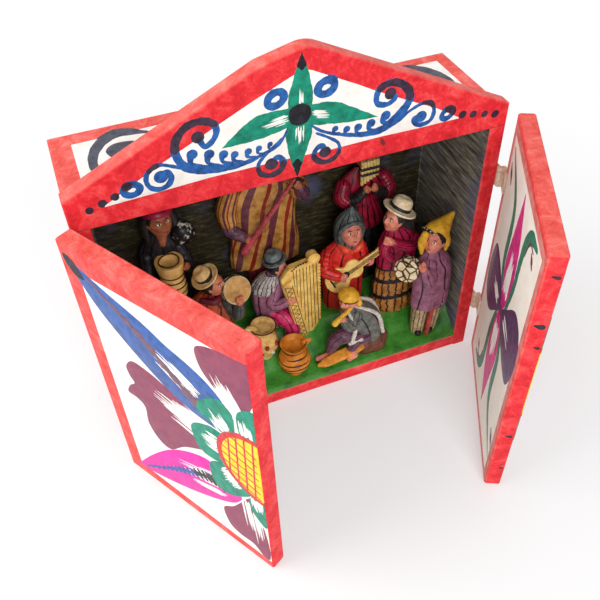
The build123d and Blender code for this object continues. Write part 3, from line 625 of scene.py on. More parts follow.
class RETABLO_OT_gable(bpy.types.Operator):
    """Paint the gable: a white field, a four-armed star and a pair of comb scrolls."""

    bl_idname = "retablo.gable"
    bl_label = "Gable ornament"

    def execute(self, context):
        face = Board((0, FRONT, 0), (1, 0, 0), (0, 0, 1), (0, -1, 0))
        white, blue, green, black, navy = (painted(*paint) for paint in (
            # Chalk white, brushed thin: soft and slightly uneven
            ("chalk_white", colours().ground_white, "F0ECE4", 8.0, 0.6),
            # Blue, green and black tempera: clear colours with darker overlaps and a little shine
            ("blue_tempera", colours().scroll_blue, "1E427E", 3.0),
            ("green_tempera", colours().star_green, "0E6E58", 4.0),
            ("black_tempera", "25262E", "101116", 3.0),
            # The same blue where it lies on the red: a bruised violet black
            ("blue_over_red", "45364A", "2A222C", 3.0),
        ))
        form = Form("gable_ornament")
        across = np.linspace(FIELD_TOP[0, 0], FIELD_TOP[-1, 0], 121)
        edges = [np.column_stack([across, np.interp(across, *edge.T)]) for edge in (FIELD_FOOT, FIELD_TOP)]
        sheet(form, face, *edges, white, 1, 120)

        # The star: four arms, dry white brush marks on them and a black heart
        heart = (-1.2, 180.4)
        arms = (
            ([heart, (-0.7, 187), (0.1, 196.5), (0.4, 206.4)], [4, 5.8, 3.6, 0.1]),
            ([heart, (-9, 179.8), (-18, 178.8), (-26, 176.3), (-34.5, 173.3)], [4, 5, 5.7, 3.6, 0.1]),
            ([heart, (6, 178.8), (12.5, 177.9), (20, 175.3), (33.5, 171)], [4, 5.3, 5.4, 4, 0.1]),
            ([heart, (-1.8, 172.6), (-2.9, 161.6), (-3.3, 151)], [4, 6.3, 3.8, 0.1]),
        )
        for path, widths in arms:
            gable_stroke(form, face, path, widths, green, black, 4, 60)
        for foot, tip, spread, count in (
            ((-6, 180), (-20, 178), 1.8, 18), ((3.6, 179.6), (15, 177), 1.8, 14),
            ((-1.4, 175.4), (-2, 164), 1.8, 14), ((-1, 185), (-0.6, 193), 1.4, 8),
        ):
            bristles(form, face, foot, tip, spread, count, white, 6, 0.26)
        dot(form, face, heart, 5.5, black, 10)

        # Blue ovals beside the star, and dots out to the ends
        for centre, long, lean in (
            ((-11, 189.5), 3.6, 26), ((10.3, 189.9), 3.7, 20), ((-72.6, 164.1), 3.2, 4),
            ((67.5, 164.1), 2.8, 29),
        ):
            a = np.linspace(0.4, 0.4 + TURN, 13)
            lean = np.radians(lean)
            turn = np.array([[np.cos(lean), np.sin(lean)], [-np.sin(lean), np.cos(lean)]])
            oval = centre + long * np.column_stack([np.cos(a), 0.76 * np.sin(a)]) @ turn
            gable_stroke(form, face, oval, 0.6 * long, blue, navy, 2, 60)
        dots = [
            (-79.5, 162.6), (-84.9, 161.1), (-90.4, 159.3), (75.5, 161.7), (81, 160.6), (87.1, 159.3),
            (92.7, 157.9),
        ]
        for step, spot in enumerate(dots):
            dot(form, face, spot, 2.1 - 0.15 * (step % 3), navy, 2)

        # Scrolls, and the combs' teeth
        for path, bulb, width in SCROLLS:
            scroll(form, face, path, bulb, width, blue, navy)
        for bulb, foot, size in HOOKS:
            bulb, foot, size = np.array(bulb), np.array(foot), 1.2 * size
            belly = 0.45 * foot + 0.55 * bulb - size * np.array([1.4, 0.8])
            gable_stroke(form, face, [foot, belly, bulb], size * np.array([0.6, 0.9, 1.4]), blue, navy, 2, 24)
            dot(form, face, bulb + size * np.array([0.5, 0.1]), 1.75 * size, blue, 3)
        form.piece("box", "red_painted_wood")
        return {"FINISHED"}


class RETABLO_OT_roof(bpy.types.Operator):
    """Paint the roof: a white field with dark hooked scrolls."""

    bl_idname = "retablo.roof"
    bl_label = "Roof ornament"

    def execute(self, context):
        face = Board((0, FRONT, roof_high[2]), (1, 0, 0), (0, 1, 0), (0, 0, 1))
        # Chalk white, a little yellowed by the weather
        white = painted("roof_white", colours().ground_white, "ECE8E0", 9.0, 0.6)
        # Soot-grey paint with a blue cast, dry at the ends of the strokes
        soot = painted("soot_grey", "565966", "3A3C48", 4.0, 0.5)
        form = Form("roof_ornament")
        sheet(form, face, [(-90.5, 9), (92.9, 9)], [(-90.5, 52.6), (92.9, 55)], white)
        hook = np.array([
            (-80, 18), (-83.4, 28), (-82.8, 39), (-78, 48.4), (-70.8, 53.2), (-64, 52.2), (-54.9, 48.4),
        ])
        blob = np.array([
            (-77, 40.6), (-74.2, 44.8), (-69.1, 45.8), (-63.3, 43.7), (-70.6, 37.8), (-74.8, 35),
        ])
        curl = np.array([
            (-12, 20), (-22, 17.5), (-34, 19), (-45, 26), (-48.5, 36), (-44, 44.5), (-34.5, 47), (-27, 41),
            (-28.5, 33), (-36, 31.5),
        ])
        for flip, shift in ((1, 0), (-1, 5)):
            turned = hook * (flip, 1) + (shift, 0)
            stroke(form, face, turned, [0.6, 2.2, 2.9, 3.8, 4.2, 3.4, 0.6], soot, 2, 70)
            blot(form, face, blob * (flip, 1) + (shift, 0), soot, 2)
            stroke(
                form, face, curl * (flip, 1) + (1 + shift / 4, 0),
                [0.4, 1, 1.6, 2.2, 2.5, 2.6, 2.5, 2.2, 2, 1.6], soot, 2, 90,
            )
            dot(form, face, (-36.6 * flip + 1 + shift / 4, 34.4), 3.6, soot, 3)
        middle = (1.2, 33)
        petal = np.array([(0, 3), (4.4, 8), (4.6, 13.5), (0, 17), (-4.6, 13.5), (-4.4, 8)])
        for ahead in np.array([(0, 1.0), (1.0, 0), (0, -1.0), (-1.0, 0)]):
            blot(form, face, middle + petal[:, :1] * (ahead[1], -ahead[0]) + petal[:, 1:] * ahead, soot, 2)
        dot(form, face, middle, 2.6, soot, 2)
        form.piece("box", "red_painted_wood")
        return {"FINISHED"}


# Where paint stops short of a door's free edge, and the radius of the flower's yellow heart
FREE_EDGE = 96.8
HEART = 20.6


def door_frame(side):
    """An open door: hinge corner of its inner face, way to the free edge, way out, width and thickness.

    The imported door's points give the corner: the board is turned about the upright by the range of its joint.
    """
    name = "right_door" if side > 0 else "left_door"
    opened = next(-joint["range_deg"][0] for joint in frame["joints"] if joint["name"] == f"{name}_hinge")
    turn = np.radians(opened)
    along = np.array([-side * np.cos(turn), -np.sin(turn), 0])
    out = np.array([side * np.sin(turn), -np.cos(turn), 0])
    points = np.empty(len(frame["nodes"][name].data.vertices) * 3)
    frame["nodes"][name].data.vertices.foreach_get("co", points)
    points = points.reshape(-1, 3) / MM
    hinge = (points @ along).min() * along + (points @ out).min() * out
    return hinge, along, out, np.ptp(points @ along), np.ptp(points @ out)


def door_flower(form, face, paints):
    """The outer face: a half flower on the free edge with plum, green, blue and pink petals on white."""
    white, plum, green, blue, pink, black, yellow, red, mauve = paints
    edge = FREE_EDGE
    sheet(form, face, [(9.4, 8.6), (edge, 6.6)], [(9.6, 146), (edge, 149.8)], white)
    # Plum petals, a blue leaf with a dark tip and a pink leaf
    petals = (
        [
            (28.2, 105), (35, 105.8), (45.2, 103.7), (56, 99.2), (65.4, 94.4), (75.6, 91.3), (77.4, 82.2),
            (68.4, 73.9), (51.2, 61.6), (39.9, 49.4), (32.3, 50.5), (27.6, 59.9), (28.4, 73), (24, 76.6),
            (18.6, 77), (21.4, 83.6), (25.6, 88.3), (23.6, 92.4), (23.2, 98.4),
        ],
        [
            (71, 142), (75.8, 146.7), (84.8, 149.4), (91, 150), (98.6, 150.6), (98.5, 142), (98, 131.4),
            (94.2, 121.5), (88.1, 113.5), (83.8, 120), (76.8, 126.2), (72.2, 132.7),
        ],
        [
            (69.5, 28.8), (76.8, 37.8), (83.6, 49.2), (88, 55.8), (89.9, 47.2), (94.3, 37.8), (96.5, 23),
            (96.3, 9), (92.3, 7), (86.6, 12.6), (78, 12.6), (71.8, 16.1),
        ],
    )
    for outline in petals:
        blot(form, face, outline, plum, 2, edge)
    sheet(
        form, face,
        [
            (3.5, 150.8), (8.8, 139.9), (16.4, 128.3), (26.3, 118.4), (36.2, 110.3), (47.6, 102.5),
            (59.6, 97.6), (72, 96.1), (82, 97),
        ],
        [
            (3.6, 151.6), (11.7, 147.7), (27.1, 142.4), (43.5, 137.5), (54.5, 132.6), (65.8, 129.2),
            (74.4, 125.2), (80.4, 120), (83, 114.7),
        ],
        blue, 3,
    )
    tip = [(2.7, 151.6), (7.5, 150.8), (11.2, 146.2), (12.5, 142.4), (7.9, 141.9), (3.7, 146.3)]
    blot(form, face, tip, black, 4)
    sheet(
        form, face, [(7.4, 7.4), (15.9, 8.7), (30.5, 13.9), (48, 22), (64.6, 31.5), (77.2, 40.9), (84, 51)],
        [(7.4, 7.8), (22.9, 29.7), (38, 47.7), (52.1, 59.2), (65.7, 65), (73, 59), (84, 51.6)], pink, 3,
    )
    # Dry white brush marks on all of these
    for foot, tip, spread, count, width in (
        ((68, 110), (40, 126), 5.5, 46, 0.42), ((74, 50), (38, 36), 8, 40, 0.42),
        ((75, 84), (34, 92), 9, 90, 0.5), ((89.6, 113), (77, 140), 4.6, 44, 0.45),
        ((88, 53), (90, 15), 5, 44, 0.45),
    ):
        bristles(form, face, foot, tip, spread, count, white, 4, width)
    # The blue leaf's mauve rib and the pink leaf's toothed spine
    wave = np.linspace(0, 1, 61)
    middle = through([(15, 144), (25.4, 137), (34.8, 131.3), (45.8, 122.4), (55.2, 114), (65, 106.4)], 61)
    stroke(form, face, middle, 1.0 + 2.6 * wave + 1.1 * wave * np.sin(56 * wave), mauve, 7.5, 240)
    dot(form, face, (65.4, 106.2), 4.4, mauve, 7.5)
    spine = through([(15.1, 12.3), (29.6, 24.1), (41.1, 33.9), (51.7, 41.6), (61.6, 48), (69.5, 50)], 35)
    teeth = np.where(np.arange(35) % 2, 1.0, -1.0) * np.linspace(0.6, 4.4, 35)
    jagged, thick = spine + teeth[:, None] * [(-0.6, 0.8)], np.linspace(0.6, 1.9, 35)
    for run, paint, coat in ((slice(0, 25), blue, 7.2), (slice(22, 35), black, 7.6)):
        stroke(form, face, spine[run], thick[run], paint, coat, 40)
        stroke(form, face, jagged[run], 0.45 * thick[run] + 0.2, paint, coat, 100)
    # Green leaves round the heart, brushed with white
    leaves = (
        [
            (65.9, 105.6), (68.9, 111), (77.9, 118.3), (84.5, 116.3), (86, 110.3), (84, 98), (76, 98),
            (70, 99.6), (66, 101),
        ],
        [
            (59.3, 86.1), (63.6, 91.3), (71.8, 95.2), (79, 93.4), (78, 82), (76, 72), (66.4, 69.4),
            (61.4, 71.8), (59.3, 78.5),
        ],
        [
            (88.7, 118.3), (93.1, 123.1), (97.5, 124.3), (98.2, 117.8), (98, 103), (92.2, 102), (88.4, 104),
            (87.5, 111.6),
        ],
        [
            (66.4, 64), (71.7, 69.6), (79.6, 71.5), (87, 66), (90, 61), (84.1, 53.6), (76.7, 47.8),
            (69, 46.7), (66, 54.3),
        ],
        [(88.5, 58), (93.5, 61), (98.3, 61), (98.2, 50.5), (96.4, 39.2), (91.5, 42.9), (88.5, 48.6)],
    )
    for outline in leaves:
        blot(form, face, outline, green, 8, edge)
    heart = np.array([edge, 82.5])
    for foot, tip, spread in (
        ((80.6, 99), (72, 110), 5), ((75.4, 84), (63, 84), 6), ((92, 104.5), (91, 117), 3.2),
        ((81.6, 66.6), (73, 57), 6), ((92.4, 60), (93, 47), 3.2),
    ):
        bristles(form, face, foot, tip, spread, 34, white, 9, 0.45)
    # The yellow heart, rimmed and latticed in red
    a = np.linspace(np.pi / 2, 3 * np.pi / 2, 41)
    for radius, paint, coat in ((23.4, red, 12.5), (HEART, yellow, 13.5)):
        rim = heart + radius * np.column_stack([np.cos(a), np.sin(a)])
        sheet(form, face, rim[::-1], np.column_stack([np.full(41, edge), rim[::-1, 1]]), paint, coat, 60)
    for step in np.arange(-15.5, 18, 5.2):
        reach = np.sqrt(HEART**2 - step**2)
        stroke(form, face, [heart + (-reach, step), heart + (-1.7, step - 4.2)], 0.9, red, 14.5, 10)
    for step in np.arange(3.2, 19, 4.4):
        reach = np.sqrt(HEART**2 - step**2)
        stroke(form, face, [heart + (-step - 1, -reach), heart + (-step + 1, reach)], 0.9, red, 14.5, 14)


def door_spray(form, face, paints):
    """The inner face: two dark petals, two long pink ones and four green stems, turned about the middle."""
    cream, pale_rim, purple, pink, green, brown, white = paints
    sheet(form, face, [(1.2, 1.2), (96.4, 1.2)], [(1.2, 155), (96.4, 155)], pale_rim, 1)
    sheet(form, face, [(6, 5), (92, 5)], [(6, 150.6), (92, 150.6)], cream, 2)
    middle = np.array([50.5, 80.5])
    dark = np.array([
        (-37, 11), (-43, -3), (-43, -17), (-37.5, -24.5), (-25, -24.5), (-11, -11.7), (-1, -0.4), (-7, 7),
        (-16, 10.2), (-26, 12.3),
    ])
    half = (
        ([(0, 0), (-1, 19), (0, 40), (-3.4, 66)], [3, 12.6, 10.4, 0.6], pink, 4),
        ([(-9, 6), (-15, 20), (-17, 48), (-40, 64.5)], [3.2, 4.4, 4.2, 1.2], green, 3),
        (
            [(7, 6), (12.5, 27), (13, 42), (15, 55), (22, 63.6), (32, 66)], [2.2, 3.6, 4.2, 4.6, 4.6, 1.8],
            green, 3,
        ),
        ([(17, 50), (21, 60), (28, 61)], [0.6, 0.9, 0.8], brown, 4),
        ([(-41, 56), (-38, 52.6), (-35.2, 49.2)], [0.7, 2.6, 1.4], brown, 4),
        ([(26.4, 58.8), (28.8, 57.4), (31, 55.8)], [0.8, 2.4, 1.2], brown, 4),
    )
    for turn in (1, -1):
        blot(form, face, middle + turn * dark, purple, 3)
        for path, widths, paint, coat in half:
            stroke(form, face, middle + turn * np.array(path), widths, paint, coat, 40)
        for foot, tip, *brush in (
            ((0, 8), (0, 44), 5, 26, white, 5, 0.8), ((-8, -4), (-32, -2), 3, 10, white, 4, 0.7),
        ):
            bristles(form, face, middle + turn * np.array(foot), middle + turn * np.array(tip), *brush)
    dot(form, face, middle, 3.4, purple, 9)


class RETABLO_OT_doors(bpy.types.Operator):
    """Paint the flowers on both faces of both doors."""

    bl_idname = "retablo.doors"
    bl_label = "Door flowers"

    def execute(self, context):
        # Chalk ground and tempera: matt white under strong, slightly streaky colours
        outer = [painted(*paint) for paint in (
            ("door_chalk_white", colours().ground_white, "EEEBE4", 9.0, 0.6),
            ("plum_tempera", colours().petal_plum, "83405A", 5.0, 0.45),
            ("leaf_green_tempera", colours().star_green, "0F7660", 4.0),
            ("leaf_blue_tempera", "4468AE", "34548E", 4.0),
            ("pink_tempera", colours().leaf_pink, "D41C94", 5.0),
            ("ink_black", "33323C", "1C1B22", 3.0),
            ("yellow_tempera", "FFDF2A", "F5C414", 4.0),
            ("lattice_red", "E03A3E", "B8242C", 3.0),
            ("plum_over_blue", "7E5A68", "66485A", 3.0),
        )]
        # Inside: yellowed chalk with purple, crimson and bottle green, and the red showing pale at its rim
        inner = [painted(*paint) for paint in (
            ("cream_ground", "FFFBF0", "F8F2E4", 10.0, 0.6),
            ("faded_red_edge", "E89A92", "D46A66", 6.0, 0.6),
            ("dark_purple", "66426E", "462C52", 4.0),
            ("crimson_tempera", "EC3496", "C81E7A", 5.0),
            ("stem_green", "2E8A70", "206A56", 3.0),
            ("bud_brown", "7E3A4C", "5A2636", 3.0),
        )]
        white, black = outer[0], outer[5]
        rise = (0, 0, 1)
        for side, name in ((-1, "left_door"), (1, "right_door")):
            hinge, along, out, width, thick = door_frame(side)
            form = Form(f"{name}_flowers")
            door_flower(form, Board(hinge + thick * out, along, rise, out), outer)
            door_spray(form, Board(hinge, along, rise, -out), (*inner, white))
            # Smears of the dark paint on the free edge, where a hand opens the door
            if side > 0:
                edge = Board(hinge + width * along, out, rise, along)
                for height, long, half in (
                    (146.6, 3.4, 1.1), (119.7, 3.6, 1.8), (107, 2, 1), (43.5, 3.4, 1), (16.5, 2, 0.8),
                ):
                    smear = [
                        (thick - 0.8 - 1.2 * half, height),
                        (thick - 1 - 1.2 * half - 0.6 * long, height + 0.6),
                    ]
                    stroke(form, edge, smear, [half, 0.4 * half], black, 1, 10)
            form.piece(name, "red_painted_wood")
        return {"FINISHED"}


class RETABLO_OT_straps(bpy.types.Operator):
    """Cut the four leather hinges, which bend between the case and the doors."""

    bl_idname = "retablo.straps"
    bl_label = "Leather hinges"

    def execute(self, context):
        # Vegetable-tanned split leather: pale tan, matt, with a fine pebbled face
        hide = painted(
            "split_leather", colours().hide, "CDB094", patch=3.0, grit=0.5, relief=0.25, roughness=0.75,
        )
        thick, side_leaf, door_leaf = 1.2, 15, 6.0
        # How far they run past the wall's front edge, and how far their middle is off the door's inner face
        lead, inset = 1.0, 0.7
        for side, name in ((-1, "left"), (1, "right")):
            hinge, along, out, *_ = door_frame(side)
            wall = side * (HALF_WIDTH + thick / 2)
            corner = hinge - inset * out
            end = corner + door_leaf * along
            path = np.array([
                (wall, FRONT + side_leaf), (wall, FRONT + 4), (wall, FRONT - lead), corner[:2], end[:2],
            ])
            line = through(path, 40)
            ahead = unit(np.gradient(line, axis=0))
            left = np.column_stack([-ahead[:, 1], ahead[:, 0]])
            for level in ("upper", "lower"):
                low, high = (corner[2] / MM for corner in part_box(f"{name}_{level}_strap"))
                height = (low + high) / 2
                form = Form(f"{name}_{level}_leather")
                flat, tall = boxy(circle(24))
                section = line[:, None] + left[:, None] * (thick / 2 * flat)[None, :, None]
                rise = np.broadcast_to(height + (high - low) / 2 * tall, section.shape[:2])[..., None]
                points = np.concatenate([section, rise], axis=-1)
                form.grid(points[:, ::-1], hide, wrap=True, caps=True)
                piece = form.piece(None, "leather", f"{name}_{level}_strap")
                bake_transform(piece)
        return {"FINISHED"}


# The ground: depths from the case's front and heights over the floor, and the bank at both walls
SLOPE_DEPTHS, SLOPE_HEIGHTS = (0, 12, 30, 59), (1.5, 4.5, 16.5, 22.0)
BANK_DEPTHS, BANK_SHARES, BANK_HEIGHT, BANK_WIDTH = (0, 2, 15, 59), (0, 0.1, 1.0, 0.6), 9.0, 12
# Where its rounded front lip starts and ends
LIP_START, LIP_END = 0.6, 3.0


def ground_height(depth):
    """Height of the ground at a depth from the case's front: three straight slopes."""
    return FLOOR_TOP + np.interp(depth, SLOPE_DEPTHS, SLOPE_HEIGHTS)


class RETABLO_OT_ground(bpy.types.Operator):
    """Model the paste ground: slopes to the back, banked at both walls, with soft lumps."""

    bl_idname = "retablo.ground"
    bl_label = "Ground"

    def execute(self, context):
        # Varnished plaster paste: deep grass green, wet-looking, dabbed with lighter and darker green
        grass = painted(
            "varnished_green_paste", colours().grass, "2C7024", patch=9.0, grit=2.4, relief=0.3,
            roughness=0.25, coat=0.4,
        )
        x = np.linspace(-HALF_INNER, HALF_INNER, 150)
        lip = np.linspace(LIP_START, LIP_END, 6)[:-1]
        depth = np.concatenate([lip, np.linspace(LIP_END, INNER_DEPTH, 60)])
        across, deep = np.meshgrid(x, depth)
        bank = np.interp(deep, BANK_DEPTHS, BANK_SHARES) * BANK_HEIGHT
        climb = np.clip((np.abs(across) - HALF_INNER + BANK_WIDTH) / BANK_WIDTH, 0, 1)
        lumps = np.sin(across / 5.1 + deep / 7.3) * np.sin(deep / 4.7 - across / 9.1)
        ripple = sizes().ripple / MM * lumps * np.clip(deep / 6, 0, 1)
        lip = np.where(deep < LIP_END, -0.5 * ((LIP_END - deep) / (LIP_END - LIP_START)) ** 2, 0)
        level = ground_height(deep) + bank * climb**1.5 + ripple + lip
        form = Form("green_ground")
        top = np.stack([across, FRONT + deep, level], -1)
        foot = top[[-1, 0]] * (1, 1, 0) + (0, 0, FLOOR_TOP)
        loop = np.concatenate([top, foot]).transpose(1, 0, 2)
        form.grid(loop[:, ::-1], grass, wrap=True, caps=True)
        form.piece("box", "ground_green", "ground")
        return {"FINISHED"}


# Shapes of paste


def tube(form, path, radii, material, sides=14, steps=26, wrinkle=0.0):
    """A limb: circles of radius r(t) square to a curve, domed at both ends, with sine wrinkles along it."""
    line = through(np.column_stack([form.foot + path, np.broadcast_to(radii, len(path))]), steps)
    centre, radius = line[:, :3], np.maximum(line[:, 3], 0.05)
    radius = radius * (1 + wrinkle * np.sin(np.linspace(0, 40, steps)))
    centre, radius, ahead = rounded(centre, radius, [84, 60, 30], 0.8)
    fixed = np.eye(3)[np.argmin(np.abs(ahead[3:-3]).mean(axis=0))]
    side = unit(np.cross(fixed, ahead))
    a = circle(sides)[:, None]
    around = np.cos(a) * side[:, None] + np.sin(a) * np.cross(ahead, side)[:, None]
    form.grid(centre[:, None] + radius[:, None, None] * around, material, wrap=True, caps=True)


def loft(form, rows, flatness, material, folds=8, crease=0.03, sides=72, steps=48, twist=0.0):
    """Cloth: level ovals through (height, half width, right, back), r (1 + crease sin(folds a + 3 v)).

    Right and back may be left out where they are 0. A twist turns the upper ovals against the lower ones.
    """
    line = through([(*row, 0, 0)[:4] for row in rows], steps)
    v = np.linspace(0, 1, steps)[:, None]
    a = circle(sides) + twist * v
    wave = crease * (1 - 0.7 * v) * (np.sin(folds * a + 3 * v) + 0.4 * np.sin((folds + 3) * a - 2 * v))
    radius = line[:, 1:2] * (1 + wave)
    shift = line[:, None, [2, 3, 0]]
    ring = np.stack([radius * np.cos(a), flatness * radius * np.sin(a), 0 * radius], -1)
    form.grid(form.foot + shift + ring, material, wrap=True, caps=True)


def spool(form, centre, axis, rows, material, sides=32, steps=None):
    """A turned shape: circles of (distance along an axis, radius), smoothed when steps are given."""
    rows = through(rows, steps) if steps else np.asarray(rows, float)
    axis = unit(np.array(axis, float))
    side = unit(np.cross((0.1, 1, 0), axis))
    a = circle(sides)[:, None]
    around = np.cos(a) * side + np.sin(a) * np.cross(axis, side)
    middle = form.foot + centre + rows[:, :1] * axis
    radius = np.maximum(rows[:, 1], 0.02)
    form.grid(middle[:, None] + radius[:, None, None] * around, material, wrap=True, caps=True)


def ball(form, centre, radii, material, sides=28, rings=16):
    """An egg: cos e (cos a, sin a) and sin e, each times its half size."""
    e = np.radians(np.linspace(-86, 86, rings))[:, None]
    a = circle(sides)
    points = np.stack([np.cos(e) * np.cos(a), np.cos(e) * np.sin(a), np.sin(e) + 0 * a], -1)
    form.grid(form.foot + centre + points * radii, material, wrap=True, caps=True)


def slab(form, board, left, right, thick, material, sides=28, steps=40, low=0.0):
    """A flat plate: between its left and right edges a box section cos^0.3, sin^0.3, from low to thick."""
    edges = through(np.column_stack([left, right]), steps)
    middle, half = (edges[:, :2] + edges[:, 2:]) / 2, (edges[:, 2:] - edges[:, :2]) / 2
    across, up = boxy(circle(sides)[::-1])
    flat = middle[:, None] + half[:, None] * across[None, :, None]
    lift = np.broadcast_to(low + (thick - low) * (0.5 + 0.5 * up), flat.shape[:2])
    form.grid(board.at(flat, lift), material, wrap=True, caps=True)


def head(form, centre, size, facing, nod, skin, hair=None):
    """A doll's head: an egg with soft bumps, gain exp(-(a/wide)^2 - (e/tall)^2), for nose, brow and chin.

    a is the angle from the way it faces and e the height angle, in radians; facing and nod are in degrees.
    The eyes, brows and lips are patches of the same surface, lifted a hair's breadth.
    """
    f, n = np.radians(facing), np.radians(nod)
    ahead = np.array([np.sin(f) * np.cos(n), -np.cos(f) * np.cos(n), -np.sin(n)])
    side = unit(np.cross(ahead, (0, 0, 1)))
    rise = np.cross(side, ahead)
    bumps = [(0, -0.06, 0.27, 0.15, 0.2), (0, 0.12, 0.1, 0.12, 0.16), (0, 0.3, 0.05, 0.6, 0.1)]
    paired = ((0.4, 0.12, -0.07, 0.2, 0.1), (0.5, -0.2, 0.05, 0.25, 0.2), (1.55, 0, 0.14, 0.14, 0.2))
    bumps += [(mirror * a0, *bump) for a0, *bump in paired for mirror in (1, -1)]
    bumps += [(0, -0.45, 0.07, 0.22, 0.08), (0, -0.85, 0.1, 0.35, 0.18)]

    def shell(a, e, lift=0.0):
        radius = 1 + lift
        for a0, e0, gain, wide, tall in bumps:
            radius = radius + gain * np.exp(-(((a - a0) / wide) ** 2) - ((e - e0) / tall) ** 2)
        narrow = 0.88 - 0.14 * np.clip(-np.sin(e), 0, 1) ** 2
        b = a + np.pi / 2
        sideways, forward = radius * narrow * np.cos(e) * np.cos(b), 0.95 * radius * np.cos(e) * np.sin(b)
        parts = (sideways, side), (forward, ahead), (1.16 * radius * np.sin(e), rise)
        return form.foot + centre + size * sum(share[..., None] * way for share, way in parts)

    e = np.radians(np.linspace(-87, 87, 40))[:, None]
    a = np.linspace(-np.pi, np.pi, 64, endpoint=False)[None]
    form.grid(shell(a, e + 0 * a), skin, wrap=True, caps=True)
    u, v = np.meshgrid(np.linspace(-1, 1, 9), np.linspace(-1, 1, 5))
    for a0, e0, wide, tall, bend, paint, lift in (
        (0.38, 0.13, 0.19, 0.075, 0.02, "eye_white", 0.03),
        (0.36, 0.13, 0.09, 0.08, 0.0, "hair", 0.045),
        (0.4, 0.3, 0.24, 0.035, -0.06, "hair", 0.04),
    ):
        height = e0 + tall * v * (1 - u**2) + bend * (u**2 - 0.5)
        for mirror in (1, -1):
            form.grid(shell(mirror * a0 + wide * u, height, lift), paint)
    form.grid(shell(0.24 * u, -0.45 + 0.06 * v * (1 - u**2) + 0.02 * (u**2 - 0.5), 0.04), "lip")
    if hair:
        ball(
            form, centre - 0.2 * size * ahead + 0.12 * size * rise, size * np.array([0.98, 0.98, 1.14]), hair,
        )


def hand(form, wrist, tip, skin):
    """A hand: a small palm and four fingers, thin limbs fanned side by side from the wrist to the tip."""
    across = 0.95 * unit(np.cross(tip - wrist, (0.2, -1, 0.4)))
    palm = wrist + 0.4 * (tip - wrist)
    tube(form, [wrist, palm], [1.7, 2.3], skin, 12, 8)
    for step in (-1.5, -0.5, 0.5, 1.5):
        start, end = palm + step * across, tip + 1.1 * step * across
        tube(form, [start, (start + end) / 2 + (0, -0.4, 0.2), end], [0.95, 0.9, 0.7], skin, 8, 8)


def arm(form, path, radii, sleeve, skin):
    """A sleeved arm: a wrinkled limb to the wrist, and a hand on to the last point."""
    line = through(np.column_stack([path, radii]), 40)
    tube(form, line[:33:4, :3], line[:33:4, 3], sleeve, 16, 30, 0.03)
    hand(form, line[33, :3], line[-1, :3], skin)


def hat(form, centre, axis, brim, crown, height, straw, band):
    """A brimmed hat: a rolled brim, a banded crown and a dented top, turned about a tilted axis."""
    rows = [
        (-1.0, 0.7 * brim), (-0.9, 0.85 * brim), (-0.2, 0.97 * brim), (0.3, brim), (0.8, 0.96 * brim),
        (0.5, 1.25 * crown), (0.9, 1.04 * crown), (0.4 * height, crown), (0.75 * height, 0.93 * crown),
        (0.95 * height, 0.74 * crown), (height, 0.5 * crown), (0.94 * height, 0.2 * crown),
        (0.92 * height, 0.02),
    ]
    spool(form, centre, axis, rows, straw, 40, 60)
    spool(
        form, centre, axis,
        [
            (0.9, 0.9 * crown), (0.95, 1.1 * crown), (0.36 * height, 1.06 * crown),
            (0.37 * height, 0.9 * crown),
        ],
        band, 40,
    )


# Where things stand, as shares of the half width and of the depth inside the case
PLACES = {
    "jar_woman": (-0.674, 0.881), "violinist": (-0.065, 0.885), "panpiper": (0.57, 0.885),
    "guitarist": (0.386, 0.644), "harpist": (-0.098, 0.644), "drummer": (-0.478, 0.576),
    "singer": (0.7, 0.495), "capped_man": (0.856, 0.203), "flute_player": (0.37, 0.2),
    "pitcher": (-0.06, 0.186), "painted_jug": (-0.206, 0.39),
}


def on_ground(name):
    """The foot of a player or pot on the ground."""
    across, depth = PLACES[name][0] * HALF_INNER, PLACES[name][1] * INNER_DEPTH
    return np.array([across, FRONT + depth, ground_height(depth)])


def tilted(centre, along, out):
    """A board on a slant: its length and the way it looks out, squared up."""
    out = unit(np.array(out, float))
    along = np.array(along, float)
    along = unit(along - (along @ out) * out)
    return Board(centre, along, np.cross(out, along), out)


